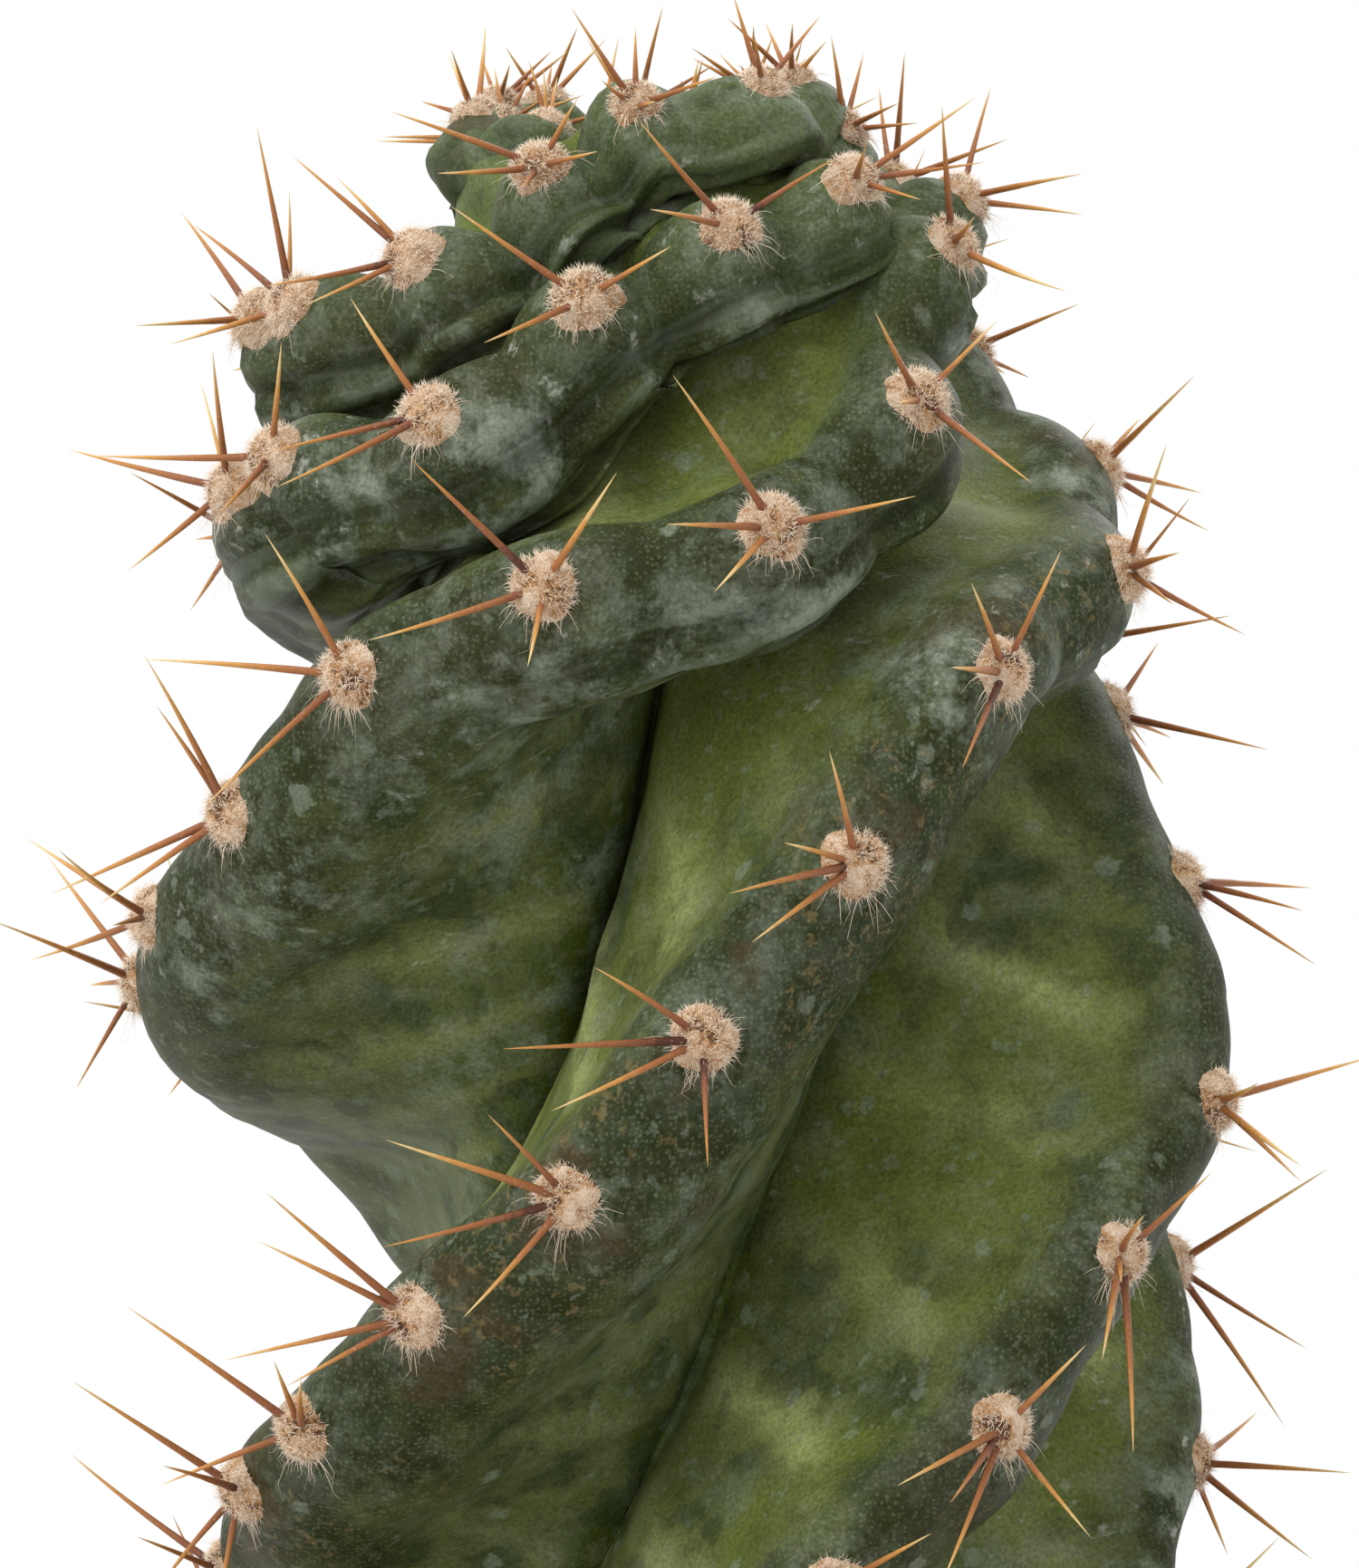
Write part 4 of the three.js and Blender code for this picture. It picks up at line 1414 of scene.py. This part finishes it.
    def _raise(self) -> None:
        """Move the skin along its normal by its unevenness, ridges and wrinkles."""
        along = np.gradient(self.points, axis=0)
        around = np.roll(self.points, -1, axis=1) - np.roll(self.points, 1, axis=1)
        tip_fade = smooth_step((self.stem.end - self.tip_smooth - self.heights) / self.tip_fade)
        fade = (tip_fade * smooth_step(self.heights / self.foot_fade))[:, None]
        swells = self.swell_height * rough_field(self.points, self.swell_size)
        ripples = self.ripple_height * rough_field(self.points, self.ripple_size, 3.0)
        folds = self.vein_height * self.marks["vein"] - self.wrinkle_depth * self.marks["wrinkle"]
        lift = (swells + ripples + folds) * fade
        self.points = self.points + lift[..., None] * unit(np.cross(around, along))

    def _crease(self) -> None:
        """Pull the valleys in towards the axis, into sharp creases."""
        inward = (self.stem.axis_offset(self.heights)[:, None, None] * radial(0.0) - self.points) * (1 - UP)
        share = np.clip((self.marks["depth"] - self.crease_start) / (1 - self.crease_start), 0, 1) ** 2
        ribbed = smooth_step(self.heights / self.stem.ribs_full)[:, None]
        pull = self.crease_depth * self.marks["crease"] * share * ribbed
        self.points = self.points + pull[..., None] * unit(inward)

    def _round_foot(self) -> None:
        """Turn the lowest rows into plain circles, where the stem meets the soil."""
        stem, heights = self.stem, self.heights[:, None]
        turn = np.degrees(np.arctan2(self.points[..., 1], self.points[..., 0] - stem.axis_offset(heights)))
        level = np.broadcast_to(heights, turn.shape)
        circle = stem.on_stem(np.full(turn.shape, stem.root_radius), turn, level, level)
        self.points = circle + (self.points - circle) * smooth_step(heights / self.round_end)[..., None]

    def _mark_halo(self) -> None:
        """Mark nearness to an areole, from 0 to 1."""
        stem = self.stem
        spots = [stem.crest_point(rib, np.array(height)) for rib in RIBS for height in stem.areoles(rib)]
        tree = kdtree.KDTree(len(spots))
        for i, spot in enumerate(spots):
            tree.insert(Vector(spot), i)
        tree.balance()
        distance = np.array([tree.find(Vector(point))[2] for point in self.points.reshape(-1, 3).tolist()])
        self.marks["halo"] = np.exp(-((distance / self.halo_reach) ** 2)).reshape(self.points.shape[:2])

    def build(self) -> None:
        """Work the relief into the skin, close it over the root end and at the tip, and dress it."""
        self._even()
        self._mark_veins()
        self._mark_wrinkles()
        self._raise()
        self._crease()
        self._round_foot()
        self._mark_halo()
        # The upper mark says where light is painted on the upper flanks.
        self.marks["upper"] = (self.marks["side"] < 0) * window(self.marks["depth"], *self.painted_light_places)
        for working in ("side", "phase", "crease"):
            del self.marks[working]
        stem, rows = self.stem, self.points
        outward = (rows[0] - rows[0, 0, 2] * UP - stem.foot()) / stem.root_radius
        bottom = stem.foot() + (SOIL_LEVEL - stem.root_depth) * UP
        root_tip = bottom + stem.root_tip_radius * outward
        root_middle = stem.foot() + (SOIL_LEVEL - stem.root_depth / 2) * UP + stem.root_radius * outward
        top = stem.crest_point(RIBS[0], np.array(stem.end))
        top[:2] = stem.axis_offset(stem.end), 0
        marks = {}
        for key, values in self.marks.items():
            marks[key] = np.append(np.concatenate([values[:1], values[:1], values]), [0.0, 0.0])
        skins = Skins("cactus_stem")
        skins.add(np.concatenate([root_tip[None], root_middle[None], rows]), bottom, top, marks)
        dress(skins.make(), Finish.SKIN, Slot.PLANT, "cactus")


# Areoles

@dataclass(frozen=True)
class Spine:
    """One spine: its turn round the pad from the rib's upper side, its lift off the rib and its length."""

    turn: float
    lift: float
    length: float


@dataclass(frozen=True)
class Areole:
    """One areole on a crest, with the turns of its spines where they are known."""

    crest: Crest
    size: float
    youth: float
    seed: int
    turns: tuple[float, ...]


@dataclass
class Areoles:
    """Felted pads with wool and spines along the crests."""

    stem: Stem
    pad_radius: float = 3.2
    pad_height: float = 1.5
    pad_root: float = 2.6
    pad_rings: int = 15
    pad_sides: int = 34
    pad_lobes: tuple[Pair, ...] = ((3, 0.05), (5, 0.04))
    pit_radius: float = 1.3
    pit_depth: float = 0.55
    pit_place: float = 0.35
    tuft_height: float = 0.28
    tuft_size: float = 1.5
    fine_tuft_size: float = 0.6
    tuft_places: Rise = (0.25, 0.6, 1.2, 1.5)
    edge_unevenness: float = 0.10
    pad_stride: float = 7.0
    shrink_start: float = 195.0
    shrink_length: float = 31.0
    shrink: float = 0.4
    growth: Curve = Curve((
        (160, 1), (180, 0.86), (195, 0.76), (206, 0.68), (212, 0.5), (220, 0.36), (226, 0.25),
    ))
    young_lift: float = 22.0
    seed_stride: int = 40
    usual_turns: tuple[float, ...] = (12, 72, -80, 128)
    usual_turn_spread: float = 18.0
    lengths: tuple[float, ...] = (17, 15.5, 12.5, 10, 8.5)
    length_spread: float = 1.2
    lift: float = 33.0
    lift_spread: float = 7.0
    spine_radius: float = 0.4
    spine_root: float = 1.6
    spine_offset: float = 1.5
    spine_sides: int = 8
    spine_rings: int = 12
    spine_clearance: float = 0.4
    foot_swell: float = 0.75
    foot_share: float = 0.05
    tip_share: float = 0.08
    thickest_from: float = 16.8
    spine_roughness: float = 0.03
    spine_tip: float = 0.15
    spine_bend: float = 0.028
    spine_tone_spread: float = 0.6
    pile_count: int = 345
    pile_length: Pair = (0.6, 1.2)
    pile_root: float = 0.2
    pile_spread: float = 0.6
    pile_radius: float = 0.045
    strand_count: int = 46
    strand_radius: float = 0.03
    longest_strand: float = 3.2
    strand_places: Pair = (0.7, 0.98)
    strand_rise: float = 0.2
    strand_lift: Pair = (-0.1, 0.35)
    strand_spread: float = 0.25
    strand_reaches: tuple[float, float, float] = (0.35, 0.7, 0.9)
    strand_curl: float = 0.22
    strand_fall: float = 0.35
    tone_spread: float = 0.22
    young_tone: float = 0.35
    hair_tip: float = 0.4

    def all(self) -> list[Areole]:
        """Every areole of the stem.

        Returns:
            The areoles, rib by rib from the soil up.
        """
        found = []
        for rib in RIBS:
            for i, height in enumerate(self.stem.areoles(rib)):
                shrunk = float(np.clip((height - self.shrink_start) / self.shrink_length, 0, 1))
                size = 1 - self.shrink * shrunk
                youth = 1 - float(self.growth(height))
                crest = self.stem.crest_at(rib, np.array(height))
                turns = rib.spines.get(height, ())
                found.append(Areole(crest, size, youth, rib.index * self.seed_stride + i, turns))
        return found

    def build(self) -> None:
        """Build and dress the pads, the wool and the spines."""
        areoles = self.all()
        log.info("%d areoles", len(areoles))
        dress(self._pads(areoles), Finish.FELT, Slot.PLANT)
        dress(self._pile(areoles, "areole_pile", (0.55, 1.0), 0.8), Finish.WOOL, Slot.PLANT)
        dress(self._pile(areoles, "areole_fringe", (0.3, 0.7), 1.1), Finish.WOOL, Slot.PLANT)
        dress(self._strands(areoles), Finish.WOOL, Slot.PLANT)
        dress(self._spines(areoles), Finish.SPINE, Slot.PLANT)

    def _pads(self, areoles: list[Areole]) -> bpy.types.Object:
        """Lumpy cushions of felt.

        Args:
            areoles: Where they sit.

        Returns:
            The piece.
        """
        skins = Skins("areole_felt")
        rng = np.random.default_rng(11)
        turns = turns_round(self.pad_sides)
        angle = np.radians(turns)
        tilt = np.linspace(0, 1, self.pad_rings)[:, None]
        shown = window(tilt, *self.tuft_places)
        dome_reach, dome_rise = self._dome(tilt)
        for areole in areoles:
            lobes = [size * np.sin(count * angle + rng.uniform(0, 6)) for count, size in self.pad_lobes]
            reach = dome_reach * (1 + sum(lobes))
            flat = reach[..., None] * radial(turns) + areole.seed * self.pad_stride * UP
            tuft = 0.5 + 0.5 * rough_field(flat, self.tuft_size)
            tuft = tuft + 0.45 * rough_field(flat, self.fine_tuft_size, 3.0)
            pit = self.pad_radius * self.pit_place * radial(rng.uniform(0, FULL_TURN))
            from_pit = np.sum((flat - pit)[..., :2] ** 2, axis=-1)
            tuft = tuft - self.pit_depth * np.exp(-(from_pit / self.pit_radius ** 2))
            reach = reach * (1 + self.edge_unevenness * (tuft - 0.5) * (1 - shown))
            grid = self._on_pad(areole, reach, angle, dome_rise + self.tuft_height * (tuft - 0.5) * shown)
            start = areole.crest.point - self.pad_root * areole.size * areole.crest.out
            # The tuft mark follows the felt's height; the felt's colour turns it into painted shade in
            # hollows and painted highlight on tufts.
            tufts = np.append(tuft, [0.5, tuft[-1].mean()])
            skins.add(grid, start, grid[-1].mean(axis=0), {"tuft": tufts, "young": areole.youth})
        return skins.make()

    def _dome(self, tilt: Array) -> tuple[Array, Array]:
        """Distance from a pad's middle and height above the crest, from 0 at its root to 1 at its top."""
        reach = np.cos(tilt ** 1.2 * math.pi / 2 * 0.97) * self.pad_radius
        return reach, -self.pad_root + (self.pad_root + self.pad_height) * np.sin(tilt * math.pi / 2)

    def _on_pad(self, areole: Areole, reach: Array, angle: Array, rise: Array) -> Array:
        """Points over a pad.

        Args:
            areole: The areole.
            reach: Distances from its middle.
            angle: Angles round it, in radians.
            rise: Heights above the crest.

        Returns:
            The points.
        """
        crest = areole.crest
        moved = reach[..., None] * crest.level(angle) + rise[..., None] * crest.out
        return crest.point + areole.size * moved

    def _pile(self, areoles: list[Areole], name: str, places: Pair, lean: float) -> bpy.types.Object:
        """Short fuzz on the pads.

        Args:
            areoles: Where they sit.
            name: Name of the piece.
            places: Lowest and highest place on a pad that it grows at, from 0 at its root to 1 at its top.
            lean: How much it leans outwards.

        Returns:
            The piece.
        """
        skins = Skins(name)
        rng = np.random.default_rng(len(name))
        low, high = places
        for areole in areoles:
            crest = areole.crest
            angle = rng.uniform(0, 2 * math.pi, self.pile_count)
            tilt = high - (high - low) * np.sqrt(rng.uniform(0, 1, self.pile_count))
            distance, rise = self._dome(tilt)
            share = distance / self.pad_radius
            foot = self._on_pad(areole, distance, angle, rise)
            outward = crest.level(angle) * share[:, None] * lean + crest.out * tilt[:, None]
            way = unit(outward + rng.normal(0, self.pile_spread, (self.pile_count, 3)))
            hair = way * rng.uniform(*self.pile_length, self.pile_count)[:, None] * areole.size
            paths = np.stack([foot - hair * self.pile_root, foot + hair * (1 - self.pile_root)], axis=1)
            self._add_hairs(skins, paths, self.pile_radius, self._tones(rng, areole, 0.5 + 0.5 * share))
        return skins.make()

    def _strands(self, areoles: list[Areole]) -> bpy.types.Object:
        """Long wool that hangs from the edges of the pads.

        Args:
            areoles: Where they sit.

        Returns:
            The piece.
        """
        skins = Skins("areole_wool")
        rng = np.random.default_rng(37)
        many = self.strand_count
        for areole in areoles:
            crest = areole.crest
            hang = math.atan2(crest.across[2], -crest.along[2])
            angle = hang + rng.normal(0, 1.0, many)
            distance = self.pad_radius * rng.uniform(*self.strand_places, many)
            foot = self._on_pad(areole, distance, angle, np.full(many, self.strand_rise))
            outward = crest.level(angle) + crest.out * rng.uniform(*self.strand_lift, many)[:, None]
            way = unit(outward + rng.normal(0, self.strand_spread, (many, 3)))
            length = np.minimum(rng.gamma(2.2, 0.6, many), self.longest_strand)[:, None] * areole.size
            curl = rng.normal(0, self.strand_curl, (many, 2, 3)) * length[:, None]
            fall = -self.strand_fall * length * UP
            near, far, end = (foot + way * length * share for share in self.strand_reaches)
            bends = near + curl[:, 0] / 2, far + curl[:, 0] + fall / 2, end + curl[:, 1] + fall
            paths = np.stack([foot, *bends], axis=1)
            self._add_hairs(skins, paths, self.strand_radius, self._tones(rng, areole, np.full(many, 0.9)))
        return skins.make()

    def _tones(self, rng: np.random.Generator, areole: Areole, usual: Array) -> Array:
        """Tones of fibres about these usual ones, from brown at 0 to white at 1, browner when young."""
        spread_tones = usual + rng.normal(0, self.tone_spread, len(usual))
        return np.clip(spread_tones - self.young_tone * areole.youth, 0, 1)

    def _add_hairs(self, skins: Skins, paths: Array, radius: float, tone: Array) -> None:
        """Add fibres along paths.

        Args:
            skins: Where they go.
            paths: Points by fibre and step.
            radius: Radius at the foot.
            tone: Tone of each fibre.
        """
        steps = paths.shape[1] - 1
        taper = radius * np.linspace(1, self.hair_tip, steps)
        grids = tubes(paths, np.broadcast_to(taper, (len(paths), steps)), 3)
        skins.add(grids, paths[:, 0], paths[:, -1], {"tone": tone[:, None]})

    def _spines_of(self, areole: Areole) -> list[Spine]:
        """Spines of one areole.

        Args:
            areole: The areole.

        Returns:
            Its spines as they stand.
        """
        usual = not areole.turns
        found = []
        for i, turn in enumerate(areole.turns or self.usual_turns):
            key = areole.seed + i / len(self.usual_turns)
            turned = turn + self.usual_turn_spread * spread(key) * usual
            lift = self.lift + self.young_lift * areole.youth + self.lift_spread * spread(key + 1)
            length = self.lengths[i] + self.length_spread * spread(key + 2)
            found.append(Spine(turned, lift, length * (1 - areole.youth)))
        return found

    def _spines(self, areoles: list[Areole]) -> bpy.types.Object:
        """Tapered spines with swollen feet.

        Args:
            areoles: Where they stand.

        Returns:
            The piece.
        """
        skins = Skins("spines")
        rng = np.random.default_rng(51)
        reach = np.linspace(0, 1, self.spine_rings)
        reaches = np.append(np.repeat(reach, self.spine_sides), [0.0, 1.0])
        swollen = self.foot_swell * np.exp(-((reach / self.foot_share) ** 2)) * (1 - reach)
        taper = (1 - reach ** 1.5) * 0.86 + self.tip_share + swollen
        taper = np.where(reach < 1, taper, taper / 2)
        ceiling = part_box("cactus")[1][2] / MM
        for areole in areoles:
            crest = areole.crest
            for spine in self._spines_of(areole):
                lift = math.radians(spine.lift)
                level = crest.level(np.radians(spine.turn + FULL_TURN / 4))
                way = math.sin(lift) * crest.out + math.cos(lift) * level
                foot = crest.point + self.spine_offset * areole.size * (level + crest.out / 2)
                root = foot - self.spine_root * way
                length = spine.length + self.spine_root
                bend = rng.normal(0, self.spine_bend, 3) * length
                path = root + reach[:, None] * way * length + (reach ** 2)[:, None] * bend
                path[:, 2] -= max(0.0, float(path[-1, 2]) + self.spine_clearance - ceiling) * reach ** 2
                thickness = self.spine_radius * (0.72 + 0.02 * min(spine.length, self.thickest_from))
                radii = taper * thickness * (1 + rng.normal(0, self.spine_roughness, len(reach)))
                grid = tubes(path[None], radii[None], self.spine_sides)
                marks = {"reach": reaches, "tone": rng.normal(0, self.spine_tone_spread)}
                skins.add(grid, path[0], path[-1] + way * self.spine_tip, marks)
        return skins.make()


# Pot and soil

@dataclass
class Pot:
    """Tapered terracotta pot with a thicker rim and a drain hole."""

    height: float = 135.0
    foot_radius: float = 48.0
    shoulder_radius: float = 67.0
    rim_radius: float = 75.0
    rim_foot_radius: float = 72.0
    rim_height: float = 30.0
    wall: float = 6.0
    floor: float = 8.0
    edge: float = 1.5
    drain_radius: float = 9.0
    sides: int = 160
    bend_steps: int = 4
    ring_step: float = 4.0

    def wall_radius(self, height: float) -> float:
        """Outer radius of the tapered wall at a height."""
        share = height / (self.height - self.rim_height)
        return self.foot_radius + (self.shoulder_radius - self.foot_radius) * share

    def inner_radius(self, height: float) -> float:
        """Inner radius of the wall at a height."""
        return self.wall_radius(height) - self.wall

    def _profile(self) -> list[Array]:
        """Section through the wall with rounded edges.

        Returns:
            Radius and height of each ring.
        """
        rim_foot = self.height - self.rim_height
        mouth = self.inner_radius(self.height)
        corners = (
            (self.drain_radius, 0, 0.5),
            (self.foot_radius, 0, self.edge),
            (self.shoulder_radius, rim_foot, 0.8),
            (self.rim_foot_radius, rim_foot, self.edge),
            (self.rim_radius, self.height, self.edge * 1.4),
            (mouth, self.height, self.edge * 1.4),
            (self.inner_radius(self.floor), self.floor, self.edge),
            (self.drain_radius, self.floor, 0.5),
        )
        profile = []
        for i, (radius, height, edge) in enumerate(corners):
            here = np.array([radius, height])
            before = unit(np.array(corners[i - 1][:2]) - here)
            after = unit(np.array(corners[(i + 1) % len(corners)][:2]) - here)
            for t in np.linspace(0, 1, self.bend_steps + 1):
                profile.append(here + edge * ((1 - t) ** 2 * before + t ** 2 * after))
        return profile

    def build(self) -> None:
        """Build and dress the pot."""
        profile = self._profile()
        filled = []
        for point, after in zip(profile, profile[1:] + profile[:1]):
            steps = max(1, int(np.linalg.norm(after - point) / self.ring_step))
            filled += [point + (after - point) * n / steps for n in range(steps)]
        dress(lathe("clay_pot", filled, self.sides).make(), Finish.CLAY, Slot.CLAY, "pot")


@dataclass
class Soil:
    """Potting soil with a rough top, and the loose bits that lie on it."""

    pot: Pot
    stem: Stem
    lump: float = 0.7
    crumble: float = 0.35
    edge_drop: float = 1.0
    sides: int = 220
    ring_step: float = 1.2
    crumb_count: int = 900
    crumb_sides: int = 7
    crumb_size: Pair = (0.45, 3.2)
    crumb_shares: tuple[Pair, ...] = ((0.9, 1.9), (0.6, 1.0), (0.4, 0.75))
    crumb_tilt: float = 0.75
    crumb_clearance: float = 0.2
    crumb_unevenness: float = 0.16
    crumb_rise: float = 0.35

    def top(self, points: Array) -> Array:
        """Height of the soil's top over these points."""
        lumps = self.lump * rough_field(points * (1 - UP), 9.0, 2.0)
        return SOIL_LEVEL + lumps + self.crumble * rough_field(points * (1 - UP), 2.6, 4.0)

    def build(self) -> None:
        """Build and dress the soil and the loose bits."""
        rim = self.pot.inner_radius(SOIL_LEVEL) - FIT_GAP
        floor = self.pot.floor + FIT_GAP
        hole = self.stem.root_radius + FIT_GAP
        around = radial(turns_round(self.sides))
        axis = self.stem.foot()
        outer = rim * around
        inner = axis + hole * around
        rows = [
            (self.pot.inner_radius(floor) - FIT_GAP) * around + floor * UP,
            outer + (SOIL_LEVEL - self.edge_drop) * UP,
        ]
        steps = int((rim - hole) / self.ring_step)
        for n in range(steps + 1):
            ring = outer + (inner - outer) * n / steps
            ring[:, 2] = self.top(ring) - (self.edge_drop if n == 0 else 0)
            rows.append(ring)
        low = SOIL_LEVEL - self.stem.root_depth - FIT_GAP
        rows.append(inner + (SOIL_LEVEL - self.stem.root_depth / 2) * UP)
        rows.append(axis + (self.stem.root_tip_radius + FIT_GAP) * around + low * UP)
        skins = Skins("soil_bed")
        skins.add(np.array(rows), floor * UP, axis + low * UP, {})
        dress(skins.make(), Finish.SOIL, Slot.SOIL, "soil")
        dress(self._crumbs(rim, axis), Finish.CRUMBS, Slot.SOIL)

    def _crumbs(self, rim: float, axis: Array) -> bpy.types.Object:
        """Loose bark, crumbs and grains, each sunk a little into the soil.

        Args:
            rim: Radius of the soil's edge.
            axis: Foot of the stem's axis.

        Returns:
            The piece.
        """
        rng = np.random.default_rng(67)
        skins = Skins("soil_crumbs")
        tilt = np.array([-self.crumb_tilt, 0.0, self.crumb_tilt])[:, None, None]
        ball = np.cos(tilt) * radial(turns_round(self.crumb_sides)) + np.sin(tilt) * UP
        made = 0
        while made < self.crumb_count:
            size = float(np.clip(rng.gamma(2.0, 0.55), *self.crumb_size))
            spot = radial(rng.uniform(0, FULL_TURN)) * (rim - size) * math.sqrt(rng.uniform(0.1, 1))
            if np.linalg.norm(spot - axis) - self.stem.root_radius < size + self.crumb_clearance:
                continue
            made += 1
            stretch = np.array([rng.uniform(*share) for share in self.crumb_shares]) * size
            lumpy = ball * (1 + rng.normal(0, self.crumb_unevenness, ball.shape[:2]))[..., None] * stretch
            heading = rng.uniform(0, FULL_TURN)
            axes = np.stack([radial(heading), radial(heading + FULL_TURN / 4), UP])
            spot = spot + (self.top(spot) + stretch[2] * self.crumb_rise) * UP
            pole = stretch[2] * UP
            skins.add(lumpy @ axes + spot, spot - pole, spot + pole, {"tone": rng.uniform(0, 1)})
        return skins.make()


# Studio

@dataclass
class Studio:
    """White studio: pale floor, soft lights and the camera."""

    distance: float = 700.0
    pitch: float = 8.0
    aim_height: float = 267.1
    focal_pixels: float = 8400.0
    long_side: float = 1731.0
    sensor: float = 36.0
    floor_radius: float = 640.0
    floor_rings: int = 24
    floor_sides: int = 96
    floor_gap: float = 0.2
    floor_thickness: float = 4.0
    clip: Pair = (0.05, 20.0)
    sky: float = 1.0

    def build(self) -> None:
        """Make the floor, the lights and the camera."""
        self._floor()
        self._sky()
        self._softbox("top_light", (-250, -350, 1250), 900, 9.0)
        self._softbox("left_light", (-1000, -500, 600), 700, 4.0)
        self._softbox("back_light", (500, 900, 800), 700, 5.0)
        self._camera()
        bpy.context.scene.view_settings.view_transform = "Standard"

    def _floor(self) -> None:
        """Round floor that runs out into the white."""
        skins = Skins("studio_floor")
        reach = np.linspace(self.floor_radius, self.floor_radius / self.floor_rings, self.floor_rings)
        top = reach[:, None, None] * radial(turns_round(self.floor_sides)) - self.floor_gap * UP
        bottom = top[:1] - self.floor_thickness * UP
        middle = -self.floor_gap * UP
        skins.add(np.concatenate([bottom, top]), middle - self.floor_thickness * UP, middle, {})
        piece = skins.make()
        piece.data.materials.append(Finish.FLOOR.value.make())

    def _sky(self) -> None:
        """Even white all round."""
        world = bpy.data.worlds.new("white_studio")
        bpy.context.scene.world = world
        world.use_nodes = True
        background = world.node_tree.nodes["Background"]
        background.inputs["Color"].default_value = (1.0, 1.0, 1.0, 1.0)
        background.inputs["Strength"].default_value = self.sky

    def _softbox(self, name: str, place: tuple[float, float, float], size: float, power: float) -> None:
        """Large square light that faces the stem.

        Args:
            name: Name of the light.
            place: Where it hangs.
            size: Side of the square.
            power: Its power in watts.
        """
        light = bpy.data.lights.new(name, "AREA")
        light.shape = "SQUARE"
        light.size = size * MM
        light.energy = power
        lamp = bpy.data.objects.new(name, light)
        lamp.location = Vector(place) * MM
        way = Vector((0, 0, self.aim_height)) - Vector(place)
        lamp.rotation_euler = way.to_track_quat("-Z", "Y").to_euler()
        bpy.context.scene.collection.objects.link(lamp)

    def _camera(self) -> None:
        """Camera in front of the plant, looking slightly down."""
        data = bpy.data.cameras.new("camera")
        data.sensor_width = self.sensor
        data.lens = self.sensor * self.focal_pixels / self.long_side
        data.clip_start, data.clip_end = self.clip
        camera = bpy.data.objects.new("camera", data)
        pitch = math.radians(self.pitch)
        back = Vector((0, -math.cos(pitch), math.sin(pitch)))
        camera.location = (Vector((0, 0, self.aim_height)) + back * self.distance) * MM
        camera.rotation_euler = (-back).to_track_quat("-Z", "Y").to_euler()
        bpy.context.scene.collection.objects.link(camera)
        bpy.context.scene.camera = camera


def main() -> None:
    """Build the plant, its pot and the studio."""
    logging.basicConfig(level=logging.INFO, format="%(message)s")
    stem = Stem()
    StemSkin(stem).build()
    Areoles(stem).build()
    pot = Pot()
    pot.build()
    Soil(pot, stem).build()
    Studio().build()


if __name__ == "__main__":
    main()
